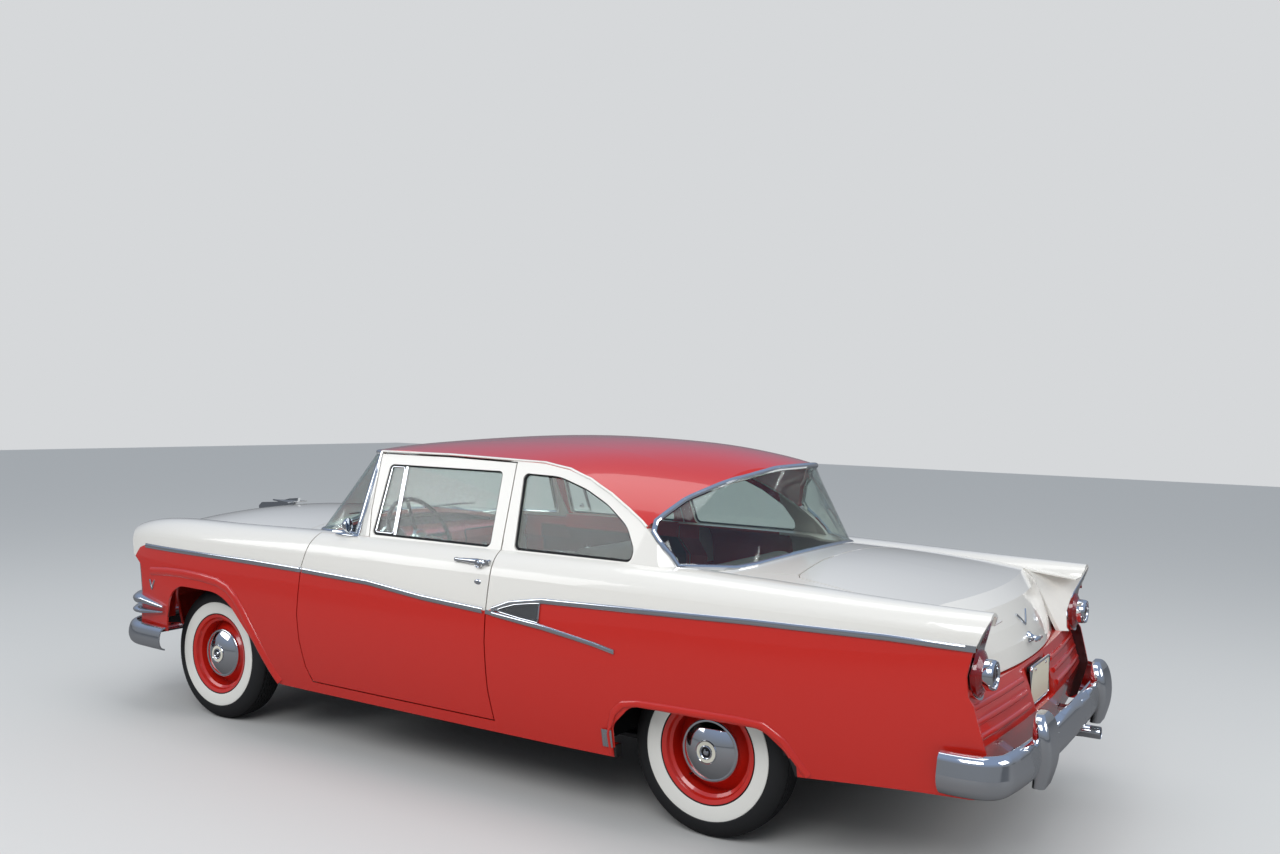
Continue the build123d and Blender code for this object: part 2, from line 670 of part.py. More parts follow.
rear_blade_z = 487
front_blade_z = 400
front_blade_slim = 0.84
rear_plan = ((2498, 0), (2488, 600), (2462, 850), (2360, 954), (2223, 957))
front_plan = ((2480, 0), (2466, 600), (2430, 780), (2330, 905), (2200, 948), (1990, 960))
rear_blade = bumper(rear_plan, rear_blade_z, -1)
front_blade = bumper(front_plan, front_blade_z, 1, front_blade_slim)
rear_guard = guard(bumper_x, 385, -1)
front_guard = guard(bumper_x, 335, 1)
rear_bracket = block(-2478, rail_rear_x, *rail_y, 440, 455)
front_bracket = block(rail_front_x, 2474, *rail_y, 395, 420)
finish_across(rear_blade + rear_guard + rear_bracket, "rear_bumper")
finish_across(front_blade + front_guard + front_bracket, "front_bumper")


def side_block(points, y_from, y_to):
    """Side view outline (x, z) extruded across the car, for pieces inside and below."""
    return side_prism(points, y_from, y_to)


def rod(start, end, radius):
    """Round bar between two points."""
    span = Vector(*end) - Vector(*start)
    with BuildPart() as bar:
        with BuildSketch(Plane(origin=start, z_dir=span)):
            Circle(radius)
        extrude(amount=span.length)
    return bar.part


# Frame: two rails with crossmembers
rail_depth = 95
floor_z = 318
floor_wall = 12
trunk_floor_z = 562
kick_x = -780
rail_top = ((rail_front_x, 440), (1250, 440), (1020, floor_z), (kick_x, floor_z), (-930, trunk_floor_z),
            (-1600, trunk_floor_z), (-1800, 470), (rail_rear_x, 470))
rail = side_block(list(rail_top) + [(x, z - rail_depth) for x, z in reversed(rail_top)], *rail_y)
# Columns: x from, x to, z from, z to
crossmembers = ((1600, 1762, 345, 420), (2240, 2310, 345, 440), (420, 500, 222, 290), (-720, -640, 223, 283),
                (-2290, -2220, 375, 470))
frame = rail
for x_from, x_to, z_from, z_to in crossmembers:
    frame = frame + block(x_from, x_to, 0, rail_y[1], z_from, z_to)
pipe_room = rod((-900, 250, 262), (600, 250, 262), pipe_r + rest_gap)
finish_across(frame - pipe_room, "chassis_frame")

# Floor with its tunnel, wheel housings, trunk floor and firewall
tunnel_r = 150
floor_y = 815
wheelhouse_r = 404
wheelhouse_y = 590
floor = block(kick_x - floor_wall, firewall_x, 0, floor_y, floor_z, floor_z + floor_wall)
floor = floor + block(kick_x - floor_wall, kick_x, 0, floor_y, floor_z, trunk_floor_z + floor_wall)
floor = floor + block(-2235, kick_x, 0, 640, trunk_floor_z, trunk_floor_z + floor_wall)
floor = floor + (block(firewall_x - floor_wall, firewall_x, 0, 760, floor_z, 1050) & lid_inside)
tunnel = Pos(firewall_x, 0, floor_z) * Rot(0, -90, 0) * Cylinder(tunnel_r, firewall_x - kick_x + floor_wall,
                                                                 align=(Align.CENTER, Align.CENTER, Align.MIN))
tunnel_void = Pos(firewall_x + 1, 0, floor_z) * Rot(0, -90, 0) * Cylinder(
    tunnel_r - floor_wall, firewall_x - kick_x + 2 * floor_wall, align=(Align.CENTER, Align.CENTER, Align.MIN))
floor = floor + (tunnel & block(-900, 1200, 0, 200, floor_z, 600)) - tunnel_void
house = Pos(rear_axle_x, wheelhouse_y, axle_z) * Rot(-90, 0, 0) * Cylinder(
    wheelhouse_r, 320, align=(Align.CENTER, Align.CENTER, Align.MIN))
house_void = Pos(rear_axle_x, wheelhouse_y + floor_wall, axle_z) * Rot(-90, 0, 0) * Cylinder(
    wheelhouse_r - floor_wall, 320, align=(Align.CENTER, Align.CENTER, Align.MIN))
floor = (floor - house) + ((house - house_void) & block(-1700, -820, wheelhouse_y, 905, 430, 800))
finish_across(floor - frame, "floor_pan")

# Engine, gearbox, shaft and rear axle
finish(block(1250, 1950, -230, 230, 420, 900), "engine_block")
shaft_z = 330
with BuildPart() as gearbox:
    with BuildSketch(Plane.XZ):
        Polygon((1250, 0), (1250, 170), (1165, 118), (1000, 100), (700, 80), (640, 38), (-1113, 38), (-1113, 0),
                align=None)
    revolve(axis=Axis.X)
gearbox_piece = Pos(0, 0, shaft_z) * gearbox.part - block(1150, 1300, -300, 300, 100, 250)
finish(gearbox_piece, "gearbox_and_shaft")
stub_r = 30
drum_r = 138
with BuildPart() as axle:
    with BuildSketch(Plane.XY):
        Polygon((0, 0), (140, 0), (138, 40), (100, 105), (42, 150), (42, 622), (drum_r, 622), (drum_r, 672), (70, 680),
                (stub_r, 680), (stub_r, 736), (0, 736), align=None)
    revolve(axis=Axis.Y)
finish_across(Pos(rear_axle_x, 0, axle_z) * axle.part, "rear_axle")

# Leaf springs
spring_y = (450, 510)
spring_eyes = ((-640, 262), (-1866, 424))
spring_drop = 42.5
leaf = 9
with BuildPart() as springs:
    for number in range(3):
        sketch_lift = number * leaf
        trim_back = 170 * number
        with BuildSketch(Plane.XZ.offset(-spring_y[1])):
            with BuildLine():
                low = axle_z - spring_drop - sketch_lift
                ends = [(x - (1 if x > rear_axle_x else -1) * trim_back, z - sketch_lift) for x, z in spring_eyes]
                if number:
                    ends = [(x, low + (z + sketch_lift - axle_z + spring_drop) * ((x - rear_axle_x) / (eye - rear_axle_x)) ** 2)
                            for (x, z), (eye, _) in zip(ends, spring_eyes)]
                ThreePointArc(ends[0], (rear_axle_x, low), ends[1])
                Line(ends[1], (ends[1][0], ends[1][1] - leaf))
                ThreePointArc((ends[1][0], ends[1][1] - leaf), (rear_axle_x, low - leaf), (ends[0][0], ends[0][1] - leaf))
                Line((ends[0][0], ends[0][1] - leaf), ends[0])
            make_face()
        extrude(amount=spring_y[1] - spring_y[0])
spring_set = springs.part
for x, z in spring_eyes:
    spring_set = spring_set + rod((x, rail_y[1], z), (x, spring_y[1], z), 16)
finish_across(spring_set, "leaf_springs")

# Front suspension: wishbones between the frame and the knuckles
kingpin_y = 645
arm_low_z = (228, 252)
arm_high_z = (462, 480)


def wishbone(z_from, z_to, inner_y):
    """A-shaped arm."""
    outline = [(front_axle_x - 110, inner_y), (front_axle_x + 110, inner_y), (front_axle_x + 22, kingpin_y + 2),
               (front_axle_x - 22, kingpin_y + 2)]
    hole = [(front_axle_x - 70, inner_y + 25), (front_axle_x + 70, inner_y + 25), (front_axle_x + 14, kingpin_y - 60),
            (front_axle_x - 14, kingpin_y - 60)]
    return plan_prism(outline, z_from, z_to) - plan_prism(hole, z_from, z_to)


tower = block(front_axle_x - 60, front_axle_x + 60, 400, 440, 440, 480)
mount_low = block(front_axle_x - 110, front_axle_x + 110, 380, 440, 228, 345)
suspension = wishbone(*arm_low_z, rail_y[1]) + wishbone(*arm_high_z, rail_y[1]) + tower + mount_low
coil = Pos(front_axle_x, 500, arm_low_z[1]) * Cylinder(45, arm_high_z[0] - arm_low_z[1],
                                                      align=(Align.CENTER, Align.CENTER, Align.MIN))
finish_across(suspension + coil, "front_suspension")

# Knuckles with drums and spindles
hub_y = front_track / 2
joint_gap = 0.3
with BuildPart() as knuckle:
    with BuildSketch(Plane.XY):
        Polygon((0, kingpin_y + 10), (drum_r, kingpin_y + 22), (drum_r, kingpin_y + 52), (70, kingpin_y + 62),
                (stub_r, kingpin_y + 62), (stub_r, hub_y + 25), (0, hub_y + 25), align=None)
    revolve(axis=Axis.Y)
knuckle_piece = Pos(front_axle_x, 0, axle_z) * knuckle.part
knuckle_piece = knuckle_piece + block(front_axle_x - 18, front_axle_x + 18, kingpin_y - 16, kingpin_y + 16,
                                      arm_low_z[1] + joint_gap, arm_high_z[0] - joint_gap)
finish_pair(knuckle_piece, "knuckle")

# Wheels: tyre, steel rim and hub cap, about their own axle, outside towards +Y
rim_r = 196
flange_r = 207
bore_r = stub_r + 0.06
half_tyre = tyre_width / 2
with BuildPart() as tyre:
    with BuildSketch(Plane.XY):
        with BuildLine():
            Polyline((rim_r + 1, 62), (rim_r + 14, 74))
            TangentArc((275, half_tyre), (rim_r + 14, 74), tangent=(-1, -0.35))
            ThreePointArc((275, half_tyre), (316, half_tyre - 8), (tyre_radius - 9, half_tyre - 26))
            ThreePointArc((tyre_radius - 9, half_tyre - 26), (tyre_radius, 0), (tyre_radius - 9, 26 - half_tyre))
            ThreePointArc((tyre_radius - 9, 26 - half_tyre), (316, 8 - half_tyre), (275, -half_tyre))
            TangentArc((275, -half_tyre), (rim_r + 14, -74), tangent=(-1, 0.35))
            Polyline((rim_r + 14, -74), (rim_r + 1, -62), (rim_r + 1, 62))
        make_face()
    revolve(axis=Axis.Y)
with BuildPart() as rim:
    with BuildSketch(Plane.XY):
        Polygon((bore_r, -6), (bore_r, 4), (70, 4), (96, 30), (120, 38), (150, 6), (172, -12), (172, 52), (184, 60),
                (190, 74), (flange_r, 80), (flange_r, 76), (rim_r, 68), (rim_r, -68), (flange_r, -76), (flange_r, -80),
                (184, -74), (180, -10), (168, -22), (148, -6), (118, 28), (98, 20), (72, -6), align=None)
    revolve(axis=Axis.Y)
cap_r = 128
with BuildPart() as cap:
    with BuildSketch(Plane.XY):
        with BuildLine():
            Polyline((0, 88), (0, 78), (60, 74), (104, 56), (118, 37.65))
            Polyline((118, 37.65), (122, 39), (cap_r, 50))
            ThreePointArc((cap_r, 50), (124, 57), (114, 58))
            TangentArc((0, 88), (114, 58), tangent=(1, 0))
        make_face()
    revolve(axis=Axis.Y)
# Columns: name, axle x, middle y, side
wheel_rows = (
    ("front_left", front_axle_x, front_track / 2, 1),
    ("front_right", front_axle_x, front_track / 2, -1),
    ("rear_left", rear_axle_x, rear_track / 2, 1),
    ("rear_right", rear_axle_x, rear_track / 2, -1),
)
for place, x, y, side in wheel_rows:
    for piece, kind in ((tyre, "tyre"), (rim, "rim"), (cap, "hub_cap")):
        placed = Pos(x, y, axle_z) * piece.part
        finish(placed if side > 0 else mirrored(placed), f"{kind}_{place}")


# Fuel tank and exhaust
with BuildPart() as tank:
    with BuildSketch(Plane.XY.offset(345)):
        with Locations((-2010, 0)):
            RectangleRounded(400, 2 * (rail_y[0] - 4), 60)
    extrude(amount=trunk_floor_z - 345)
finish(tank.part, "fuel_tank")
pipe_points = ((1240, -262, 440), (1180, -262, 280), (1050, -250, 262), (-1450, -250, 262), (-1760, -530, 292),
               (-2493, -530, 330))
with BuildPart() as exhaust:
    with BuildLine() as pipe_path:
        pipe_run = FilletPolyline(*pipe_points, radius=[60, 60, 160, 160])
    with BuildSketch(Plane(origin=pipe_run @ 0, z_dir=pipe_run % 0)):
        Circle(pipe_r)
    sweep(path=pipe_path.wire())
    with BuildSketch(Plane.YZ.offset(-520)):
        with Locations((-250, 245)):
            Ellipse(110, 60)
    extrude(amount=620)
finish(exhaust.part, "exhaust")

# Dashboard, steering column and wheel
column_rise = 28
wheel_hub = (690, 370, 1005)
column_r = 22
column_dir = (cos(radians(column_rise)), 0, -sin(radians(column_rise)))
column_end = 500
column_far = tuple(h + column_end * d for h, d in zip(wheel_hub, column_dir))
column_near = tuple(h + 36 * d for h, d in zip(wheel_hub, column_dir))
column_whole = rod(column_near, column_far, column_r)
dash_profile = ((firewall_x - floor_wall, 1000), (930, 1000), (890, 985), (872, 940), (884, 860), (930, 820),
                (firewall_x - floor_wall, 900))
dash_y = 720
hinge_room_x = 945
dash = side_block(dash_profile, -dash_y, dash_y) - rod(column_near, column_far, column_r + 2)
hinge_room = block(hinge_room_x, firewall_x, 637, dash_y + 1, 800, 1010)
dash = dash - hinge_room - mirrored(hinge_room)
finish(dash, "dashboard")
finish(column_whole - block(firewall_x - floor_wall, 1300, 0, 700, 300, 1100), "steering_column")
wheel_plane = Plane(origin=wheel_hub, x_dir=(0, 1, 0), z_dir=tuple(-d for d in column_dir))
rim_circle_r = 211
rim_tube_r = 11.5
rim_lift = 14
hub_r = 34
with BuildPart() as steering:
    with BuildSketch(Plane.XZ):
        with Locations((rim_circle_r, rim_lift)):
            RegularPolygon(rim_tube_r, 12)
    revolve(axis=Axis.Z)
    with Locations((0, 0, -rim_lift)):
        Cylinder(hub_r, 44)
    for angle in (0, 180, 270):
        with Locations(Rot(0, 0, angle) * Pos((hub_r + rim_circle_r) / 2 - 5, 0, 4) * Rot(0, -6, 0)):
            Box(rim_circle_r - hub_r + 7, 20, 7)
finish(wheel_plane.location * steering.part, "steering_wheel")

# Seats and shelf
seat_y = 690
front_seat_profile = ((480, floor_z + floor_wall), (505, 560), (490, 625), (440, 650), (40, 610), (-60, 980),
                      (-90, 1010), (-130, 1005), (-150, 960), (-60, 560), (0, floor_z + floor_wall))
rear_seat_profile = ((-440, floor_z + floor_wall), (-425, 600), (-445, 645), (-490, 660), (-880, 615), (-960, 1005),
                     (-985, 1030), (-1062, 1030), (-1062, trunk_floor_z + floor_wall),
                     (kick_x, trunk_floor_z + floor_wall), (kick_x, floor_z + floor_wall))


def bench(points, y_to):
    """Bench seat from its side view."""
    with BuildPart() as seat:
        with BuildSketch(Plane.XZ.offset(-y_to)):
            with BuildLine():
                Polyline(*points, close=True)
            make_face()
        extrude(amount=2 * y_to)
    return seat.part


tunnel_room = Pos(1200, 0, floor_z) * Rot(0, -90, 0) * Cylinder(tunnel_r, 2100,
                                                             align=(Align.CENTER, Align.CENTER, Align.MIN))
finish(bench(front_seat_profile, seat_y) - tunnel_room, "front_seat")
finish(bench(rear_seat_profile, 575) - tunnel_room, "rear_seat")
shelf_profile = ((-1062, 985), (-1062, 997), (-1470, 1010), (-1470, 998))
finish(side_block(shelf_profile, -690, 690) & (lid_inside + mirrored(lid_inside)), "parcel_shelf")

# Chrome trim that stands on the panels
trim_proud = 6
trim_half = 11
spear_half = 9
trim_layer = body_solid(-trim_proud, 0) - outside
fender_line = ((2212, 884), (1500, 884), (921, 877))
door_line = ((909, 877), (462, 864), (129, 833), (-230, 813))
quarter_line = ((-246, 812), (-543, 782), (-815, 745), (-912, 726))
rear_line = ((-277, 824), (-371, 861), (-540, 889), (-1027, 901), (-1498, 915), (-2018, 921), (-2330, 915))


def strip(points, half):
    """Side view band along a line of points."""
    outline = [(x, z + half) for x, z in points] + [(x, z - half) for x, z in reversed(points)]
    return side_prism(outline, 850, 1010)


body_trim = (trim_layer & strip(fender_line, trim_half)) + (trim_layer & strip(rear_line, trim_half))
body_trim = body_trim + (trim_layer & strip(quarter_line, spear_half))
finish_across(body_trim, "body_trim")
handle_z = 1016
handle_bar = block(-232, -38, 912, 926, handle_z - 8, handle_z + 8)
handle_feet = block(-226, -196, 850, 914, handle_z - 10, handle_z + 10) + block(-76, -52, 850, 914, handle_z - 8, handle_z + 8)
handle = (handle_bar + handle_feet) - outside
vent_post = glasshouse_solid(8) & side_prism(((415, belt_z + 5), (429, belt_z + 5), (469, 1401), (455, 1401)), 600, 900)
vent_post = vent_post - glasshouse_solid(12)
door_trim = (trim_layer & strip(door_line, trim_half)) + handle + vent_post
finish_pair(door_trim, "door_trim")

# Hood ornament and trunk handle
ornament_profile = ((2352, 1000), (2356, 1040), (2330, 1062), (2200, 1072), (2080, 1100), (2004, 1108), (2010, 1085),
                    (2060, 1060), (2200, 1040), (2300, 1020), (2300, 1000))
ornament = side_block(ornament_profile, -9, 9)
ornament = ornament + plan_prism(((2240, 0), (2020, 75), (2060, 0), (2020, -75)), 1078, 1086)
both_sides = outside + mirrored(outside)
finish(ornament - both_sides, "hood_ornament")
trunk_grip = block(-2345, -2270, -60, 60, 798, 826) - tail_outside
finish(trunk_grip, "trunk_handle")
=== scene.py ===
import math
import bpy
from mathutils import Matrix, Vector
from mathutils.bvhtree import BVHTree


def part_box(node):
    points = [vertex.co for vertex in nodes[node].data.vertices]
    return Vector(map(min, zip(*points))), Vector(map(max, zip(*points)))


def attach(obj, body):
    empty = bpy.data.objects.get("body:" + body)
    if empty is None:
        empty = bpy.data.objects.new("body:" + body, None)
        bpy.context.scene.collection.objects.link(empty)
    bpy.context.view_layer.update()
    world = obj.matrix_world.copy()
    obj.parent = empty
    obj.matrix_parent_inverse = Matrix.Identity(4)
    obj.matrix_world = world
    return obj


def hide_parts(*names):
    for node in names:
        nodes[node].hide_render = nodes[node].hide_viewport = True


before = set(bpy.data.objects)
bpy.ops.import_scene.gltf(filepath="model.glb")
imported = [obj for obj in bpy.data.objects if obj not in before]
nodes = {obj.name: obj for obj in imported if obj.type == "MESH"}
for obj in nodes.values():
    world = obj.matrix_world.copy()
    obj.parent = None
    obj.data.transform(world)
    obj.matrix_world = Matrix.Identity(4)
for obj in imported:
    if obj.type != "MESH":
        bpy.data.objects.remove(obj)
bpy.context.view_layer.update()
places = ("front_left", "front_right", "rear_left", "rear_right")
sides = (("left", 1), ("right", -1))


# Colours and materials

def paint_mix(hex_value):
    """Linear colour of an sRGB hex value."""
    channels = [int(hex_value[i:i + 2], 16) / 255 for i in (0, 2, 4)]
    return tuple(c / 12.92 if c <= 0.04045 else ((c + 0.055) / 1.055) ** 2.4 for c in channels) + (1,)


def add_node(tree, kind, sockets=None, **settings):
    """Adds a node with its settings and sockets. A node as a socket's value stands for its first output."""
    new = tree.nodes.new("ShaderNode" + kind)
    for key, value in settings.items():
        setattr(new, key, value)
    for key, value in (sockets or {}).items():
        if isinstance(value, bpy.types.Node):
            value = next(out for out in value.outputs if out.enabled)
        if isinstance(value, bpy.types.NodeSocket):
            tree.links.new(value, new.inputs[key])
        else:
            new.inputs[key].default_value = value
    return new


def finish_of(name, base, roughness, metallic=0.0, **more):
    """A material with its plain sockets set."""
    material = bpy.data.materials.new(name)
    material.use_nodes = True
    shader = material.node_tree.nodes["Principled BSDF"]
    plain = {"Base Color": paint_mix(base), "Roughness": roughness, "Metallic": metallic}
    for key, value in (plain | more).items():
        shader.inputs[key.replace("_", " ")].default_value = value
    material.diffuse_color = paint_mix(base)
    return material


def drive(material, socket, source):
    """Links an output to a socket of the material's shader, and returns the material."""
    material.node_tree.links.new(source, material.node_tree.nodes["Principled BSDF"].inputs[socket])
    return material


def relief(material, height, strength, distance):
    """Bump from a height pattern."""
    bump = add_node(material.node_tree, "Bump", {"Strength": strength, "Distance": distance,
                                                 "Height": height})
    return drive(material, "Normal", bump.outputs["Normal"])


def grain(material, scale, strength, distance, kind="TexNoise"):
    """Fine surface relief from a pattern in object space."""
    tree = material.node_tree
    place = add_node(tree, "TexCoord")
    pattern = add_node(tree, kind, {"Vector": place.outputs["Object"], "Scale": scale})
    if kind == "TexNoise":
        pattern.inputs["Detail"].default_value = 3.0
    return relief(material, pattern, strength, distance)


def pebbled(material, scale, strength, distance):
    """Relief of rounded cells, as pressed into vinyl or moulded into a lens."""
    return grain(material, scale, strength, distance, "TexVoronoi")


def worn(material, low, high, scale):
    """Roughness that drifts between two values, as handling and polish leave it."""
    tree = material.node_tree
    place = add_node(tree, "TexCoord")
    noise = add_node(tree, "TexNoise", {"Vector": place.outputs["Object"], "Scale": scale, "Detail": 4.0})
    drift = add_node(tree, "MapRange", {"Value": noise, "From Min": 0.35, "From Max": 0.65,
                                        "To Min": low, "To Max": high})
    return drive(material, "Roughness", drift.outputs[0])


white_hex = "E9E6DF"
red_hex = "C62114"
sealer_hex = "1B1A1A"


def enamel(name, hex_value):
    """Baked enamel, cut and polished: a clear gloss over colour, with the faintest orange peel."""
    return grain(finish_of(name, hex_value, 0.28, Coat_Weight=1.0, Coat_Roughness=0.02), 140, 0.02, 0.0006)


def two_tone_enamel():
    """White above the side moulding and red below it, masked along the moulding's line."""
    material = enamel("enamel_two_tone", white_hex)
    tree = material.node_tree
    place = add_node(tree, "TexCoord")
    spot = add_node(tree, "SeparateXYZ", {"Vector": place.outputs["Object"]})
    facing = add_node(tree, "SeparateXYZ", {"Vector": place.outputs["Normal"]})
    # The moulding's height along the car is a curve, 0.5 m lower than it is so that it fits from 0 to 1
    reach, drop = 2.6, 0.5
    along = add_node(tree, "MapRange", {"Value": spot.outputs["X"], "From Min": -reach, "From Max": reach})
    line = add_node(tree, "FloatCurve", {"Value": along})
    curve = line.mapping.curves[0]
    # Columns: x, height of the moulding's middle
    moulding = ((-2.6, 0.912), (-2.018, 0.921), (-1.498, 0.915), (-1.027, 0.901), (-0.54, 0.889),
                (-0.371, 0.861), (-0.277, 0.824), (-0.235, 0.813), (0.129, 0.833), (0.462, 0.864),
                (0.909, 0.877), (1.5, 0.884), (2.225, 0.884), (2.28, 0.865), (2.345, 0.775), (2.6, 0.775))
    while len(curve.points) < len(moulding):
        curve.points.new(0.5, 0.5)
    for point, (x, z) in zip(curve.points, moulding):
        point.location = ((x + reach) / (2 * reach), z - drop)
        point.handle_type = "VECTOR"
    line.mapping.update()
    mask = {axis.lower(): spot.outputs[axis] for axis in "XYZ"}
    mask.update(line=line, facing_y=facing.outputs["Y"])
    # Columns: mask, operation, its values
    steps = (
        ("above", "SUBTRACT", "z", "line"),
        ("upper", "GREATER_THAN", "above", drop),
        # The fin's inner wall is white down to the lower panel
        ("aside", "ABSOLUTE", "y"),
        ("near_middle", "LESS_THAN", "aside", 0.862),
        ("at_tail", "LESS_THAN", "x", -2.05),
        ("over_panel", "GREATER_THAN", "z", 0.728),
        ("tail_inside", "MULTIPLY", "near_middle", "at_tail"),
        ("fin_inside", "MULTIPLY", "tail_inside", "over_panel"),
        ("white", "MAXIMUM", "upper", "fin_inside"),
        # Faces that look towards the car's middle are inner faces
        ("inward", "MULTIPLY", "facing_y", "y"),
        ("turned_in", "LESS_THAN", "inward", -0.45),
        ("not_fin", "SUBTRACT", 1.0, "tail_inside"),
        ("from_cabin", "SUBTRACT", "x", 0.065),
        ("cabin_reach", "ABSOLUTE", "from_cabin"),
        ("past_cabin", "GREATER_THAN", "cabin_reach", 0.9),
        # Past the cabin, what looks inward above the decks is outside paint
        ("over_deck", "GREATER_THAN", "z", 0.885),
        ("outside", "MULTIPLY", "over_deck", "past_cabin"),
        ("left_over", "SUBTRACT", "not_fin", "outside"),
        ("not_outside", "MAXIMUM", "left_over", 0.0),
        ("inner_face", "MULTIPLY", "turned_in", "not_outside"),
        ("sealed_inner", "MULTIPLY", "past_cabin", "inner_face"),
        # The thickness of the wheel openings' edges is sealed too
        ("lower", "LESS_THAN", "z", 0.72),
        ("inside_skin", "LESS_THAN", "aside", 0.915),
        ("low_inside", "MULTIPLY", "lower", "inside_skin"),
        ("at_front_axle", "COMPARE", "x", 1.5625, 0.4125),
        ("at_rear_axle", "COMPARE", "x", -1.29, 0.4),
        ("at_axle", "MAXIMUM", "at_front_axle", "at_rear_axle"),
        ("well", "MULTIPLY", "at_axle", "low_inside"),
        ("sealed", "MAXIMUM", "sealed_inner", "well"),
    )
    for name, operation, *values in steps:
        sockets = {i: mask.get(value, value) for i, value in enumerate(values)}
        mask[name] = add_node(tree, "Math", sockets, operation=operation)
    colour = paint_mix(red_hex)
    # Inner faces are red in the cabin and dark with sealer in the wheel wells
    for factor, laid_over in (("white", white_hex), ("inner_face", red_hex), ("sealed", sealer_hex)):
        colour = add_node(tree, "Mix", {"Factor": mask[factor], 6: colour,
                                        7: paint_mix(laid_over)}, data_type="RGBA")
    return drive(material, "Base Color", colour.outputs[2])


def chrome_plate():
    """Bright plating: a clean mirror with slight haze where it has been wiped."""
    return worn(finish_of("chrome_plate", "E6E8EA", 0.05, 1.0), 0.03, 0.09, 9)


def tyre_rubber():
    """Moulded rubber, dusty black, with a fine grain."""
    return grain(finish_of("tyre_rubber", "1C1C1D", 0.62), 900, 0.25, 0.0006)


def whitewall_rubber():
    """White rubber band, scrubbed smooth."""
    return grain(finish_of("whitewall_rubber", "E2E1DB", 0.5), 500, 0.1, 0.0004)


def safety_glass():
    """Clear laminated glass, faintly green. It mirrors more at a glance, and light passes it for shadows."""
    material = finish_of("safety_glass", "E6F0EC", 0.0, IOR=1.5, Transmission_Weight=1.0)
    tree = material.node_tree
    clear = add_node(tree, "BsdfTransparent", {"Color": paint_mix("F3F8F5")})
    mirrored = add_node(tree, "BsdfGlossy", {"Color": (1, 1, 1, 1), "Roughness": 0.0})
    tilt = add_node(tree, "LayerWeight", {"Blend": 0.5})
    steep = add_node(tree, "Math", {0: tilt.outputs["Facing"], 1: 4.0}, operation="POWER")
    share = add_node(tree, "MapRange", {"Value": steep, "To Min": 0.035, "To Max": 0.8})
    pane = add_node(tree, "MixShader", {0: share, 1: clear, 2: mirrored})
    solid = add_node(tree, "MixShader", {0: 0.02, 1: pane, 2: tree.nodes["Principled BSDF"]})
    rays = add_node(tree, "LightPath")
    either = add_node(tree, "MixShader", {0: rays.outputs["Is Shadow Ray"], 1: solid, 2: clear})
    tree.links.new(either.outputs[0], tree.nodes["Material Output"].inputs["Surface"])
    return material


def seat_cloth():
    """Nylon pattern cloth, beige with a coarse plain weave drawn at 4 mm so that it shows."""
    material = finish_of("seat_cloth", "A79E8C", 0.85, Sheen_Weight=0.3)
    place = add_node(material.node_tree, "TexCoord")
    weave = {"Vector": place.outputs["Object"], "Scale": 1.0, "Color1": paint_mix("B3AA98"),
             "Color2": paint_mix("988E7C"), "Mortar": paint_mix("6E675A"), "Mortar Size": 0.0006,
             "Brick Width": 0.012, "Row Height": 0.004}
    threads = add_node(material.node_tree, "TexBrick", weave)
    drive(material, "Base Color", threads.outputs["Color"])
    return grain(material, 700, 0.4, 0.001)


def seat_vinyl():
    """Light grey vinyl with pressed grain for the seats' sides and rolls."""
    return pebbled(finish_of("seat_vinyl", "8E8A82", 0.45), 420, 0.3, 0.0006)


def trim_vinyl():
    """Oxblood vinyl with pressed leather grain, for door cards and the shelf."""
    return pebbled(finish_of("trim_vinyl", "5A1712", 0.42), 380, 0.3, 0.0006)


def carpet():
    """Looped pile, dark red."""
    return grain(finish_of("carpet_pile", "3B1512", 0.95, Sheen_Weight=0.4), 350, 0.9, 0.004)


def headlining():
    """Woven lining cloth, warm grey."""
    return grain(finish_of("headlining_cloth", "8F8A80", 0.9), 600, 0.3, 0.001)


def black_enamel():
    """Brushed-on chassis black, slightly satin and uneven."""
    return grain(finish_of("chassis_black", "161616", 0.5), 60, 0.2, 0.001)


def cast_metal():
    """Grey cast iron with a sanded skin."""
    return grain(finish_of("cast_iron", "4A4B4C", 0.65, 0.7), 220, 0.5, 0.0015)


def pipe_steel():
    """Drawn steel pipe, dulled by heat."""
    return worn(finish_of("pipe_steel", "6B6660", 0.45, 0.9), 0.3, 0.6, 12)


def black_plastic():
    """Hard rubber and bakelite, polished."""
    return worn(finish_of("black_bakelite", "0E0E0F", 0.2, Coat_Weight=0.5), 0.15, 0.3, 20)


def seal_rubber():
    """Soft black sealing rubber."""
    return grain(finish_of("seal_rubber", "111112", 0.7), 500, 0.2, 0.0005)


def lamp_red():
    """Moulded red acrylic, lit through and ribbed inside."""
    material = finish_of("lamp_red_acrylic", "8E0A08", 0.12, Coat_Weight=1.0, Transmission_Weight=0.25)
    return pebbled(material, 90, 0.25, 0.002)


def lamp_dark():
    """Deep red acrylic over an unlit bulb, nearly black."""
    return pebbled(finish_of("lamp_dark_acrylic", "2A0706", 0.1, Coat_Weight=1.0), 60, 0.3, 0.002)


def lamp_glass():
    """Pressed glass lens with vertical flutes."""
    material = finish_of("lamp_glass", "DFE6E8", 0.08, Coat_Weight=1.0, Transmission_Weight=0.35)
    place = add_node(material.node_tree, "TexCoord")
    flutes = add_node(material.node_tree, "TexWave",
                      {"Vector": place.outputs["Object"], "Scale": 16.0, "Distortion": 0.0},
                      bands_direction="Y")
    return relief(material, flutes, 0.6, 0.004)


def silvered_glass():
    """Mirror glass, a little dark."""
    return worn(finish_of("silvered_glass", "9FA6AA", 0.02, 1.0), 0.01, 0.04, 14)


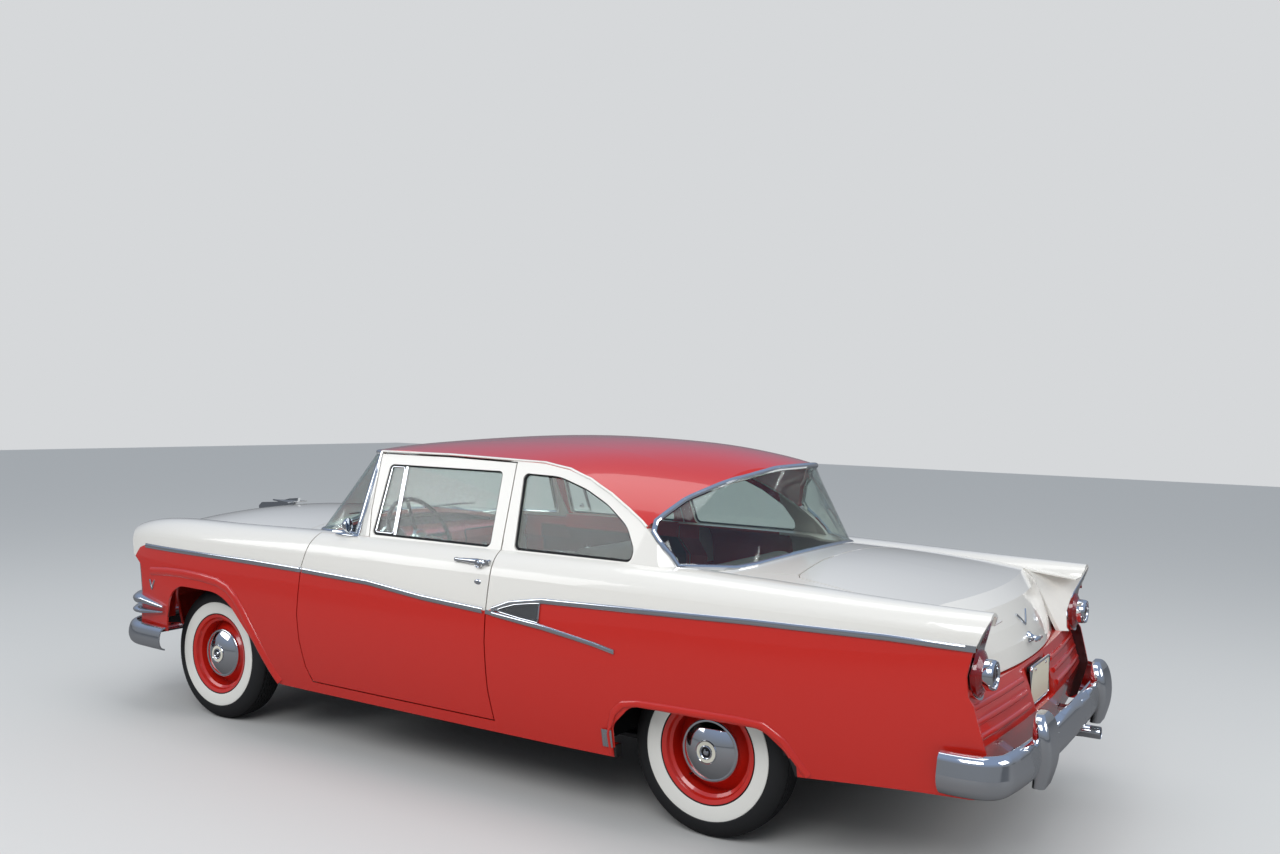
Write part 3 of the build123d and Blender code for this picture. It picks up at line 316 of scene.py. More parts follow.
def hatched_metal():
    """Black-filled plated panel cut with crossed lines 7 mm apart, so that the crosses catch the light."""
    black, bright = "1A1A1C", "8E9092"
    material = finish_of("hatched_metal", black, 0.35, 0.4)
    tree = material.node_tree
    place = add_node(tree, "TexCoord")
    lines = []
    for turn in (45, -45):
        across = {"Vector": place.outputs["Object"], "Rotation": (0, math.radians(turn), 0)}
        wave = add_node(tree, "TexWave", {"Vector": add_node(tree, "Mapping", across), "Scale": 45.0})
        lines.append(add_node(tree, "MapRange", {"Value": wave.outputs["Fac"], "From Min": 0.9}))
    crossed = add_node(tree, "Math", dict(enumerate(lines)), operation="MAXIMUM")
    mixed = add_node(tree, "Mix", {"Factor": crossed, 6: paint_mix(black), 7: paint_mix(bright)},
                     data_type="RGBA")
    drive(material, "Base Color", mixed.outputs[2])
    return relief(material, crossed, 0.5, 0.0015)


def plate_paint():
    """Pressed steel plate in dull cream paint, a little chalky."""
    return grain(finish_of("plate_paint", "D8D2BE", 0.5), 120, 0.15, 0.0008)


def cream_vinyl():
    """Cream vinyl, pressed grain, for the piping."""
    return pebbled(finish_of("cream_vinyl", "BDB6A4", 0.4), 420, 0.25, 0.0005)


def dial_enamel():
    """Printed dial, dark grey and dull behind its glass."""
    return grain(finish_of("dial_enamel", "23262A", 0.35, Coat_Weight=0.6), 300, 0.1, 0.0003)


def pale_paint():
    """Pale printed marks, matt."""
    return grain(finish_of("pale_paint", "DAD7C8", 0.6), 300, 0.1, 0.0003)


paint_two_tone = two_tone_enamel()
paint_white = enamel("enamel_white", white_hex)
paint_red = enamel("enamel_red", red_hex)
chrome = chrome_plate()
rubber = tyre_rubber()
whitewall = whitewall_rubber()
glass = safety_glass()
cloth = seat_cloth()
vinyl_grey = seat_vinyl()
vinyl_red = trim_vinyl()
pile = carpet()
lining = headlining()
chassis = black_enamel()
iron = cast_metal()
steel = pipe_steel()
bakelite = black_plastic()
seal = seal_rubber()
red_lens = lamp_red()
dark_lens = lamp_dark()
clear_lens = lamp_glass()
vinyl_cream = cream_vinyl()
dial_paint = dial_enamel()
pale_enamel = pale_paint()
mirror_glass = silvered_glass()
hatched = hatched_metal()
plate_finish = plate_paint()

# Columns: finish, the CAD nodes that have it
cad_finishes = (
    (paint_two_tone, [part + "_" + side for part in ("door", "fender", "quarter") for side, _ in sides]),
    (paint_white, ("cowl", "rear_deck", "hood_panel", "trunk_lid")),
    (paint_red, ("roof", "front_panel", "tail_panel", "dashboard", "steering_column")),
    (paint_red, ["rim_" + place for place in places]),
    (chrome, ("grille", "tail_lamp_pods", "headlamp_rims", "rear_bumper", "front_bumper", "body_trim",
              "door_trim_left", "door_trim_right", "hood_ornament", "trunk_handle")),
    (chrome, ["hub_cap_" + place for place in places]),
    (rubber, ["tyre_" + place for place in places]),
    (glass, ("windshield", "rear_window", "quarter_glass", "door_glass_left", "door_glass_right")),
    (red_lens, ("tail_lamp_lenses",)),
    (clear_lens, ("headlamp_lenses",)),
    (chassis, ("chassis_frame", "floor_pan", "rear_axle", "leaf_springs", "front_suspension", "knuckle_left",
               "knuckle_right", "fuel_tank")),
    (iron, ("engine_block", "gearbox_and_shaft")),
    (steel, ("exhaust",)),
    (bakelite, ("steering_wheel",)),
    (vinyl_grey, ("front_seat", "rear_seat")),
    (vinyl_red, ("parcel_shelf",)),
)
for finish, names in cad_finishes:
    for name in names:
        nodes[name].data.materials.clear()
        nodes[name].data.materials.append(finish)


# Ways of working that every piece shares

def deselect():
    bpy.ops.object.select_all(action="DESELECT")


def pick(obj):
    """Makes obj the only selected and the active object."""
    deselect()
    obj.select_set(True)
    bpy.context.view_layer.objects.active = obj


def settle(obj, name, finishes, body="body", smooth=32):
    """Names a finished piece, puts its place into its mesh and gives it its finish and body."""
    pick(obj)
    if obj.type != "MESH":
        bpy.ops.object.convert(target="MESH")
        obj = bpy.context.object
    bpy.ops.object.transform_apply(location=True, rotation=True, scale=True)
    obj.name = name
    obj.data.name = name
    finishes = finishes if isinstance(finishes, (list, tuple)) else [finishes]
    if len(obj.data.materials) != len(finishes):
        obj.data.materials.clear()
        for finish in finishes:
            obj.data.materials.append(finish)
    if smooth:
        bpy.ops.object.shade_smooth_by_angle(angle=math.radians(smooth))
    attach(obj, body)
    return obj


def edited(obj, *steps):
    """Takes all of a mesh through steps in edit mode."""
    pick(obj)
    bpy.ops.object.mode_set(mode="EDIT")
    for step in steps:
        bpy.ops.mesh.select_all(action="SELECT")
        step()
    bpy.ops.object.mode_set(mode="OBJECT")


def face_outward():
    bpy.ops.mesh.normals_make_consistent(inside=False)


def apply_modifiers(obj):
    pick(obj)
    for modifier in list(obj.modifiers):
        bpy.ops.object.modifier_apply(modifier=modifier.name)


def joined(objects):
    """Several pieces made one mesh."""
    deselect()
    for obj in objects:
        obj.select_set(True)
    bpy.context.view_layer.objects.active = objects[0]
    bpy.ops.object.join()
    return objects[0]


def soft_edged_box(low, high, bevel, segments=3):
    """A box between two corners, with rounded edges."""
    low, high = Vector(low), Vector(high)
    bpy.ops.mesh.primitive_cube_add(size=1, location=(low + high) / 2)
    box = bpy.context.object
    box.scale = high - low
    pick(box)
    bpy.ops.object.transform_apply(location=True, rotation=False, scale=True)
    edited(box, lambda: bpy.ops.mesh.bevel(offset=bevel, segments=segments, affect="EDGES"))
    return box


def turned(profile, centre, axis, steps=64):
    """A shape spun about an axis through centre from (radius, height along the axis) points in mm."""
    bpy.ops.mesh.primitive_plane_add(size=1, location=(0, 0, 0))
    shape = bpy.context.object
    mesh = shape.data
    mesh.clear_geometry()
    points = [(radius / 1000, 0, height / 1000) for radius, height in profile]
    mesh.from_pydata(points, [(i, i + 1) for i in range(len(points) - 1)], [])

    def spin():
        bpy.ops.mesh.spin(steps=steps, angle=2 * math.pi, center=(0, 0, 0), axis=(0, 0, 1))

    edited(shape, spin, lambda: bpy.ops.mesh.remove_doubles(threshold=0.00002), face_outward)
    shape.rotation_mode = "QUATERNION"
    shape.rotation_quaternion = Vector(axis).to_track_quat("Z", "Y")
    shape.location = centre
    bpy.ops.object.transform_apply(location=True, rotation=True, scale=True)
    shape.rotation_mode = "XYZ"
    return shape


def bead(points, width, height=None, closed=False, resolution=3, swell=None):
    """A rounded moulding laid through points: width across, height off the surface, kept level with Z.

    Points that are None are left out. swell lists its thickness along the way, as shares of the width."""
    points = [point for point in points if point is not None]
    data = bpy.data.curves.new("bead", "CURVE")
    data.dimensions = "3D"
    spline = data.splines.new("POLY")
    spline.points.add(len(points) - 1)
    for i, (knot, point) in enumerate(zip(spline.points, points)):
        knot.co = (*point, 1)
        if swell:
            place = i / (len(points) - 1) * (len(swell) - 1)
            start = min(int(place), len(swell) - 2)
            knot.radius = swell[start] + (swell[start + 1] - swell[start]) * (place - start)
    spline.use_cyclic_u = closed
    obj = bpy.data.objects.new("bead", data)
    bpy.context.scene.collection.objects.link(obj)
    section = None
    if height is None:
        data.bevel_depth = width / 2
        data.bevel_resolution = resolution
    else:
        bpy.ops.curve.primitive_bezier_circle_add(radius=0.5)
        section = bpy.context.object
        section.scale = (height, width, 1)
        data.bevel_mode = "OBJECT"
        data.bevel_object = section
        data.twist_mode = "Z_UP"
        section.data.resolution_u = resolution
    data.use_fill_caps = not closed
    pick(obj)
    bpy.ops.object.convert(target="MESH")
    obj = bpy.context.object
    if section:
        bpy.data.objects.remove(section)
    return obj


def skin_of_meshes(*meshes):
    """The faces of some meshes, to lay pieces on."""
    points, faces = [], []
    for mesh in meshes:
        first = len(points)
        points += [v.co.copy() for v in mesh.vertices]
        faces += [[first + i for i in polygon.vertices] for polygon in mesh.polygons]
    return BVHTree.FromPolygons(points, faces)


def skin_of(*names):
    """The faces of some CAD nodes."""
    return skin_of_meshes(*(nodes[name].data for name in names))


def laid(skin, start, direction, lift=0.0):
    """Where a line from start first meets the skin, lifted off it towards start."""
    spot = skin.ray_cast(Vector(start), Vector(direction))[0]
    return None if spot is None else spot - Vector(direction) * lift


def from_left(skin, x, z, lift=0.0):
    """The skin's outermost spot on the car's left at this place."""
    return laid(skin, (x, 1.5, z), (0, -1, 0), lift)


def from_behind(skin, y, z, lift=0.0):
    """The skin's rearmost spot at this place."""
    return laid(skin, (-3, y, z), (1, 0, 0), lift)


def along(points, step):
    """Points along straight runs, no further apart than step."""
    dense = []
    for a, b in zip(points, points[1:]):
        a, b = Vector(a), Vector(b)
        count = max(1, math.ceil((b - a).length / step))
        dense += [a.lerp(b, i / count) for i in range(count)]
    return dense + [Vector(points[-1])]


def on_side(skin, outline, lift=0.0, step=0.03, side=1):
    """Points of a side view outline (x, z) laid on the car's side."""
    found = [laid(skin, (p.x, side * 1.5, p.y), (0, -side, 0), lift) for p in along(outline, step)]
    return [p for p in found if p]


def other_side(obj):
    """A copy of a piece mirrored to the right of the car."""
    pick(obj)
    bpy.ops.object.duplicate()
    twin = bpy.context.object
    bpy.ops.object.transform_apply(location=True, rotation=True, scale=True)

    def mirror():
        bpy.ops.transform.mirror(constraint_axis=(False, True, False), center_override=(0, 0, 0))

    edited(twin, mirror, bpy.ops.mesh.flip_normals)
    return twin


def both_sides(obj, name, finishes, body="body", smooth=32):
    """Settles a left piece and its mirror image on the right. The body "door" is each one's own door."""
    left_body, right_body = ("door_left", "door_right") if body == "door" else (body, body)
    left = settle(obj, name + "_left", finishes, left_body, smooth)
    return left, settle(other_side(left), name + "_right", finishes, right_body, smooth)


def wheel_middle(place):
    """Middle of a wheel, and the way its outer face looks: 1 on the left, -1 on the right."""
    low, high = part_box("tyre_" + place)
    hub = (low + high) / 2
    return hub, math.copysign(1, hub.y)


# Tyres: moulded carcass with a white band, zigzag tread ribs
tyre_profile = ((198, 58), (203, 69), (211, 77), (213, 80.5), (216, 82), (222, 83.5), (238, 86), (256, 87.5),
                (268, 87.2), (271, 86.8), (273, 84.8), (277, 86.6), (292, 85.5), (306, 82), (318, 77),
                (329, 70), (336, 62.5), (340.5, 56), (341.5, 49), (335.5, 48), (335.5, 44), (342.5, 43),
                (343.8, 31), (338, 30), (338, 26), (344.2, 25), (344.9, 11), (338.8, 10), (338.8, 6),
                (345, 5))
white_band = (0.2135, 0.2722)
tread_foot = 0.334
zigzag = 0.0035
tyre_steps = 120
mirrored = [(radius, -height) for radius, height in reversed(tyre_profile)]
for place in places:
    hub, outward = wheel_middle(place)
    tyre = turned([*tyre_profile, *mirrored], (0, 0, 0), (0, 0, 1), tyre_steps)
    for vertex in tyre.data.vertices:
        radius = math.hypot(vertex.co.x, vertex.co.y)
        if radius > tread_foot and abs(vertex.co.z) < 0.05:
            turn = round(math.atan2(vertex.co.y, vertex.co.x) / (2 * math.pi) * tyre_steps)
            vertex.co.z += zigzag if turn % 2 else -zigzag
    tyre.data.materials.append(rubber)
    tyre.data.materials.append(whitewall)
    for polygon in tyre.data.polygons:
        radius = math.hypot(polygon.center.x, polygon.center.y)
        if white_band[0] < radius < white_band[1] and polygon.center.z * outward > 0:
            polygon.material_index = 1
    tyre.rotation_euler = (math.radians(-90), 0, 0)
    tyre.location = hub
    tyre = settle(tyre, "tyre_" + place + "_treaded", [rubber, whitewall], "wheel_" + place, 25)
    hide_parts("tyre_" + place)

# Hub cap centres: a plain enamelled ring, where the real one has lettering
medallion = ((47, 81), (47, 86.2), (45, 88.2), (43, 88.2), (41.5, 86.8), (29, 88.2), (27.5, 90.5), (25, 91.5),
             (22.5, 90.5), (20.5, 88), (12, 88.5), (8.5, 92.5), (0, 93.5))
pale_ring = (0.029, 0.0415)
dark_ring = (0.012, 0.0205)
for place in places:
    hub, outward = wheel_middle(place)
    centre = turned(medallion, hub, (0, outward, 0), 60)
    for finish in (chrome, pale_enamel, bakelite):
        centre.data.materials.append(finish)
    for polygon in centre.data.polygons:
        radius = math.hypot(polygon.center.x - hub.x, polygon.center.z - hub.z)
        in_ring = pale_ring[0] < radius < pale_ring[1]
        polygon.material_index = 1 if in_ring else (2 if dark_ring[0] < radius < dark_ring[1] else 0)
    settle(centre, "hub_centre_" + place, [chrome, pale_enamel, bakelite], "wheel_" + place, 30)

# Mouldings round the glass and along the drip rail
body_skin = skin_of("roof", "quarter_left", "quarter_right", "door_left", "door_right", "cowl", "rear_deck",
                    "fender_left", "fender_right")
screen_skin = skin_of("windshield")
drip_line = ((0.64, 1.457), (0.209, 1.459), (-0.182, 1.451), (-0.348, 1.447), (-0.492, 1.426),
             (-0.614, 1.389), (-0.737, 1.334), (-0.836, 1.279), (-0.911, 1.233), (-0.94, 1.212))
rail_points = on_side(body_skin, [(x, z + 0.004) for x, z in drip_line], 0.003, 0.02)
both_sides(bead(rail_points, 0.011, 0.014), "drip_rail", paint_white)


def shows(glass_skin, centre, angle, z):
    """Where the glass is the outermost surface in this direction at this height, or None."""
    out = Vector((math.cos(angle), math.sin(angle), 0))
    start = Vector((centre, 0, z)) + 3 * out
    on_glass = laid(glass_skin, start, -out)
    on_body = laid(body_skin, start, -out)
    if on_glass is None or (on_body and (start - on_body).length < (start - on_glass).length):
        return None
    return on_glass


def glass_border(glass_skin, centre, angle, z_from, z_to):
    """Edge of the glass, found from a height that is off it towards one past it."""
    step = math.copysign(0.01, z_to - z_from)
    z = z_from
    while (z_to - z) * step > 0 and not shows(glass_skin, centre, angle, z):
        z += step
    off, on = z - step, z
    if not shows(glass_skin, centre, angle, on):
        return None
    for _ in range(6):
        middle = (off + on) / 2
        if shows(glass_skin, centre, angle, middle):
            on = middle
        else:
            off = middle
    return shows(glass_skin, centre, angle, on)


def glass_moulding(name, glass_skin, centre, facing, width):
    """Chrome moulding on a wraparound glass: along its lower edge one way and its upper edge back."""
    lower, upper = [], []
    spread, step, under, over = 80, 2, 1.0, 1.52
    for turn in range(-spread, spread + 1, step):
        angle = math.radians(facing + turn)
        low = glass_border(glass_skin, centre, angle, under, over)
        high = glass_border(glass_skin, centre, angle, over, under)
        if low and high and high.z - low.z > 0.004:
            lower.append(low)
            upper.append(high)
    settle(bead(lower + upper[::-1], width, closed=True), name, chrome)


glass_moulding("windshield_moulding", screen_skin, 0.3, 0, 0.02)
glass_moulding("rear_window_moulding", skin_of("rear_window"), -0.75, 180, 0.026)


def rounded(points, radius, steps=5):
    """Closed outline (x, z) with its corners rounded off."""
    smooth = []
    for i, point in enumerate(points):
        before, here, after = Vector(points[i - 1]), Vector(point), Vector(points[(i + 1) % len(points)])
        back, onward = before - here, after - here
        half = back.angle(onward) / 2
        cut = min(radius / math.tan(half), 0.45 * back.length, 0.45 * onward.length)
        middle = here + (back.normalized() + onward.normalized()).normalized() * cut / math.cos(half)
        first = here + back.normalized() * cut - middle
        last = here + onward.normalized() * cut - middle
        smooth += [middle + first.lerp(last, s / steps).normalized() * first.length
                   for s in range(steps + 1)]
    return smooth


def rounded_box(x_one, y_one, x_two, y_two, radius):
    """Outline of a box between two corners, rounded off."""
    return rounded([(x_one, y_one), (x_two, y_one), (x_two, y_two), (x_one, y_two)], radius)


def drawn_in(points, amount):
    """Closed outline moved in by amount on every side."""
    area = sum(a[0] * b[1] - b[0] * a[1] for a, b in zip(points, points[1:] + points[:1]))
    turn = 1 if area > 0 else -1
    moved = []
    for i, point in enumerate(points):
        here = Vector(point)
        back = (here - Vector(points[i - 1])).normalized()
        onward = (Vector(points[(i + 1) % len(points)]) - here).normalized()
        inward = Vector((-(back.y + onward.y), back.x + onward.x)).normalized() * turn
        moved.append(here + inward * amount / max(0.3, math.cos(back.angle(onward) / 2)))
    return moved


def ring_on_side(skin, outline, lift):
    """Closed outline laid on the car's side."""
    return on_side(skin, [*outline, outline[0]], lift, 0.02)[:-1]


def laid_grid(columns, rows, place, wall=0):
    """A grid whose points are set by place(u, v), given a wall behind it."""
    bpy.ops.mesh.primitive_grid_add(x_subdivisions=columns, y_subdivisions=rows, size=1)
    sheet = bpy.context.object
    for vertex in sheet.data.vertices:
        vertex.co = place(vertex.co.x + 0.5, vertex.co.y + 0.5)
    if wall:
        solid = sheet.modifiers.new("wall", "SOLIDIFY")
        solid.thickness = wall
        solid.offset = -1
        apply_modifiers(sheet)
    edited(sheet, face_outward)
    return sheet


# Rubber round the side windows, on the glass
door_window = [(0.56, 1.069), (0.567, 1.402), (-0.13, 1.402), (-0.163, 1.069)]
quarter_window = [(-0.295, 1.07), (-0.248, 1.4), (-0.45, 1.395), (-0.605, 1.35), (-0.732, 1.292),
                  (-0.847, 1.212), (-0.905, 1.12), (-0.899, 1.07)]
door_glass_skin = skin_of("door_glass_left")
for part, outline, skin, corner, body in (
        ("door", door_window, door_glass_skin, 0.024, "door"),
        ("quarter", quarter_window, skin_of("quarter_glass"), 0.03, "body")):
    edge = ring_on_side(skin, drawn_in(rounded(outline, corner), 0.004), 0.002)
    both_sides(bead(edge, 0.011, closed=True), part + "_window_rubber", seal, body)
vent_outline = rounded([(0.549, 1.082), (0.556, 1.39), (0.474, 1.39), (0.434, 1.082)], 0.012)
vent_frame = bead(ring_on_side(door_glass_skin, vent_outline, 0.003), 0.007, closed=True)
both_sides(vent_frame, "vent_window_frame", chrome, "door")
catch_spot = from_left(door_glass_skin, 0.47, 1.115, 0.004) - Vector((0, 0.02, 0))
catch = turned([(0, 12), (6, 12), (9, 8), (9, 3), (14, 0), (0, 0)], catch_spot, (0, -1, 0), 20)
both_sides(catch, "vent_window_catch", chrome, "door")

# Bright moulding down the rear edges of the windshield
side_edge = [from_left(screen_skin, 0.669, 1.062 + 0.0385 * i, 0.001) for i in range(11)]
side_edge = [spot for spot in side_edge if spot]


def screen_side_moulding(u, v):
    i = v * (len(side_edge) - 1)
    low = min(int(i), len(side_edge) - 2)
    spot = side_edge[low].lerp(side_edge[low + 1], i - low)
    across = from_left(screen_skin, spot.x + (u - 0.5) * 0.034, spot.z, 0) or spot
    return across + Vector((0, 0.009 * math.sin(math.pi * min(max(u, 0.02), 0.98)) ** 0.5, 0))


both_sides(laid_grid(8, 24, screen_side_moulding, 0.002), "windshield_side_moulding", chrome)

# Rounded crowns of the side mouldings, in three lengths and the spear
moulding_skin = skin_of("fender_left", "door_left", "quarter_left", "body_trim", "door_trim_left")
# Columns: name, body, line, thickness along it
crowns = (
    ("fender", "body", ((2.21, 0.884), (1.831, 0.884), (1.271, 0.883), (0.918, 0.877)), (0.6, 1, 1)),
    ("door", "door", ((0.904, 0.877), (0.462, 0.864), (0.129, 0.833), (-0.23, 0.815)), (1, 1)),
    ("quarter", "body", ((-0.28, 0.824), (-0.371, 0.861), (-0.54, 0.889), (-1.027, 0.901), (-1.498, 0.915),
                         (-2.018, 0.921), (-2.335, 0.914)), (0.8, 1, 1, 1)),
    ("spear", "body", ((-0.282, 0.806), (-0.543, 0.782), (-0.815, 0.745), (-0.908, 0.727)),
     (0.8, 1, 0.8, 0.3)),
)
for part, body, line, swell in crowns:
    spots = on_side(moulding_skin, line, -0.001, 0.04)
    crown = bead(spots, 0.024, 0.011, resolution=5, swell=swell)
    both_sides(crown, "moulding_crown_" + part, chrome, body, 50)

# Door handles: pull with its push button, and the lock below
lever_line = [(x, 0.92 + 0.004 * math.sin((x + 0.2) * 19), 1.016 + 0.02 * (x + 0.18) ** 2)
              for x in (-0.196, -0.17, -0.145, -0.12, -0.095, -0.075, -0.06, -0.048, -0.036)]
lever_swell = (0.9, 1.05, 0.95, 0.8, 0.66, 0.56, 0.52, 0.68, 0.5)
lever = bead(lever_line, 0.027, 0.024, resolution=6, swell=lever_swell)
wing_line = [(-0.165, 0.918, 1.008), (-0.19, 0.92, 1.006), (-0.212, 0.919, 1.013), (-0.234, 0.915, 1.026)]
wing = bead(wing_line, 0.026, 0.02, resolution=6, swell=(1, 1.05, 0.8, 0.35))
button = turned([(0, 10), (7, 9.5), (9.5, 6), (9.5, 1), (12.5, -0.5), (16.5, 4), (19.5, 2), (20.5, -6),
                 (19, -16), (0, -16)], (-0.18, 0.934, 1.01), (0, 1, 0), 36)
rest = turned([(0, 0), (24, 0), (22, 12), (14, 20), (10, 55), (0, 55)], (-0.213, 0.868, 1.014), (0, 1, 0),
              28)
nose = turned([(0, 0), (17, 0), (15, 10), (9, 18), (8, 52), (0, 52)], (-0.064, 0.868, 1.014), (0, 1, 0), 24)
both_sides(joined([lever, wing, button, rest, nose]), "door_pull", chrome, "door")
lock = turned([(0, 4), (5, 5), (9, 3.5), (12, 1), (12, -3), (0, -3)], (0, 0, 0), (0, 1, 0), 24)
for vertex in lock.data.vertices:
    vertex.co.x *= 2.0 if vertex.co.x > 0 else 1.1
lock.location = from_left(body_skin, -0.188, 0.93)
both_sides(lock, "door_lock", chrome, "door")

# Mirror on the left door: shoe, stalk and round head
shoe_z = laid(body_skin, (0.706, 0.845, 2.0), (0, 0, -1)).z
shoe = turned([(0, -78), (10, -74), (18, -50), (21, -20), (20, 20), (13, 60), (5, 82), (0, 84)], (0, 0, 0),
              (1, 0, 0), 32)
for vertex in shoe.data.vertices:
    vertex.co.z *= 0.6
shoe.location = (0.706, 0.845, shoe_z + 0.002)
stalk = bead([(0.712, 0.846, shoe_z), (0.708, 0.849, shoe_z + 0.014), (0.701, 0.853, shoe_z + 0.032)], 0.02,
             swell=(1.5, 0.9, 0.6))
facing = Vector((-0.94, -0.28, 0.03))
head_spot = Vector((0.7, 0.856, shoe_z + 0.051))
head = turned([(0, -30), (8, -28), (20, -20), (30, -9), (34.5, 1), (35.5, 7), (33.5, 9.5), (32, 7)],
              head_spot, facing, 40)
settle(joined([shoe, stalk, head]), "door_mirror", chrome, "door_left")
reflector = turned([(0, 7.8), (32.5, 7.2)], head_spot, facing, 40)
settle(reflector, "door_mirror_glass", mirror_glass, "door_left")

# Ornamental panel on the quarter, between the two mouldings
badge_outline = [(-0.292, 0.823), (-0.34, 0.842), (-0.4, 0.861), (-0.47, 0.873), (-0.532, 0.88),
                 (-0.532, 0.794), (-0.43, 0.803), (-0.33, 0.815)]
rim_line = ring_on_side(body_skin, drawn_in(badge_outline, 0.003), 0.004)
both_sides(bead(rim_line, 0.007, 0.009, closed=True), "quarter_badge_rim", chrome)


def badge_place(u, v):
    x = -0.292 - 0.24 * u
    high = 0.822 + 0.058 * min(1, u * 1.2) ** 0.8
    low = 0.82 - 0.026 * u
    return from_left(body_skin, x, low + (high - low) * v, 0.004)


both_sides(laid_grid(24, 8, badge_place, 0.003), "quarter_badge", hatched)

# Chevrons: two chrome bars that meet in a V, with no crest
tip = from_left(skin_of("fender_left"), 2.111, 0.655, 0.003)
bars = []
for way in (-1, 1):
    end = tip + Vector((way * 0.02, 0, 0.052))
    bars.append(bead([tip, tip.lerp(end, 0.5), end], 0.01, 0.007))
both_sides(joined(bars), "fender_chevron", chrome)
lid_skin = skin_of("trunk_lid")
bars = []
for way in (-1, 1):
    ends = [from_behind(lid_skin, way * 0.075 * t, 0.862 + 0.048 * t, 0.004) for t in (0, 0.5, 1)]
    bars.append(bead(ends, 0.012, 0.009))
settle(joined(bars), "trunk_chevron", chrome, "trunk_lid")

# T-handle of the trunk
grip_spot = from_behind(lid_skin, 0, 0.811)
boss = turned([(0, -4), (24, -4), (24, 4), (17, 10), (11, 22), (10, 36), (0, 36)], grip_spot, (-1, 0, 0), 32)
bar = turned([(0, -58), (3.5, -57), (7.5, -45), (8.5, -15), (11, 0), (8.5, 15), (7.5, 45), (3.5, 57),
              (0, 58)], (0, 0, 0), (0, 1, 0), 24)
bar.location = grip_spot + Vector((-0.038, 0, 0))
handle = settle(joined([boss, bar]), "trunk_t_handle", chrome, "trunk_lid")
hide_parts("trunk_handle")

# Tail lamps: ribbed red ring, bright ring and dark centre
lamp_centre = Vector((-2.283, 0.793, 0.812))
ribs = [(83.5, 12), (83.5, 30), (82.5, 38)]
for i in range(6):
    ribs += [(81.5 - 4.5 * i, 42.5 + 2.2 * i), (79 - 4.5 * i, 43 + 2.2 * i)]
red_ring = turned(ribs + [(53, 56.5), (53, 12)], lamp_centre, (-1, 0, 0), 72)
bright_ring = turned([(53, 50), (54.5, 56), (54.5, 74), (53, 86), (49.5, 92), (45.5, 90.5), (43.5, 84),
                      (43, 52), (53, 50)], lamp_centre, (-1, 0, 0), 72)
centre_lens = turned([(0, 88.5), (10, 88), (11, 86.5), (22, 85.5), (23, 84), (34, 82), (35, 80.5),
                      (43.2, 78.5), (43.2, 55), (0, 55)], lamp_centre, (-1, 0, 0), 48)
left_red = both_sides(red_ring, "tail_lamp_red", red_lens, smooth=20)[0]
both_sides(bright_ring, "tail_lamp_ring", chrome, smooth=30)
both_sides(centre_lens, "tail_lamp_centre", dark_lens, smooth=20)
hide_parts("tail_lamp_lenses")

# Ribs of the tail panel, and the blank licence plate in its frame
tail_skin = skin_of("tail_panel")
for number, z in enumerate((0.592, 0.64, 0.688)):
    run = [from_behind(tail_skin, 0.235 + 0.02 * i, z, 0.001) for i in range(31)]
    both_sides(bead(run, 0.024, 0.018), f"tail_rib_{number}", paint_red)
plate_x = -2.347
plate = soft_edged_box((plate_x - 0.001, -0.1515, 0.5675), (plate_x + 0.001, 0.1515, 0.7185), 0.0006, 1)
settle(plate, "licence_plate_blank", plate_finish, smooth=20)
frame_line = rounded_box(-0.1525, 0.5665, 0.1525, 0.7195, 0.012)
plate_frame = bead([(plate_x, p.x, p.y) for p in frame_line], 0.011, 0.012, closed=True)
settle(plate_frame, "licence_plate_frame", chrome)
for name, y in (("left", 0.089), ("right", -0.089)):
    screw = turned([(0, 4), (6, 3.5), (7, 1), (7, 0), (3.2, 0), (3.2, -36), (0, -36)],
                   (plate_x - 0.001, y, 0.703), (-1, 0, 0), 20)
    settle(screw, "plate_screw_" + name, chrome)
plate_rest = soft_edged_box((plate_x + 0.002, -0.12, 0.694), (-2.318, 0.12, 0.712), 0.003, 2)
settle(plate_rest, "plate_bracket", chassis)

# Pressed beads over the wheel openings, and the stone guards
front_bead = ((2.128, 0.752), (1.96, 0.766), (1.821, 0.77), (1.67, 0.766), (1.539, 0.755), (1.455, 0.732),
              (1.393, 0.69), (1.33, 0.625), (1.262, 0.535), (1.19, 0.43), (1.12, 0.33), (1.095, 0.3))
rear_bead = ((-0.884, 0.3), (-0.88, 0.412), (-0.905, 0.478), (-0.95, 0.52), (-1.019, 0.534),
             (-1.159, 0.537), (-1.454, 0.54), (-1.566, 0.535), (-1.64, 0.49), (-1.695, 0.42),
             (-1.735, 0.37))
for end, line, width, height in (("front", front_bead, 0.044, 0.02), ("rear", rear_bead, 0.03, 0.016)):
    arch = bead(on_side(body_skin, line, 0.0, 0.025), width, height, resolution=6)
    both_sides(arch, end + "_arch_bead", paint_red, smooth=60)


def guard_place(u, v):
    spot = from_left(body_skin, -0.892 + 0.046 * u, 0.33 + 0.074 * v, 0.004)
    return spot + Vector((0, 0.003 * abs(math.sin(u * 4 * math.pi)), 0))


stone_guard = settle(laid_grid(32, 8, guard_place, 0.003), "stone_guard_left", chrome, smooth=25)
settle(other_side(stone_guard), "stone_guard_right", chrome)

# Bright bars at the ends of the grille, wrapped round the fender's corner
nose_skin = skin_of("fender_left", "front_panel")
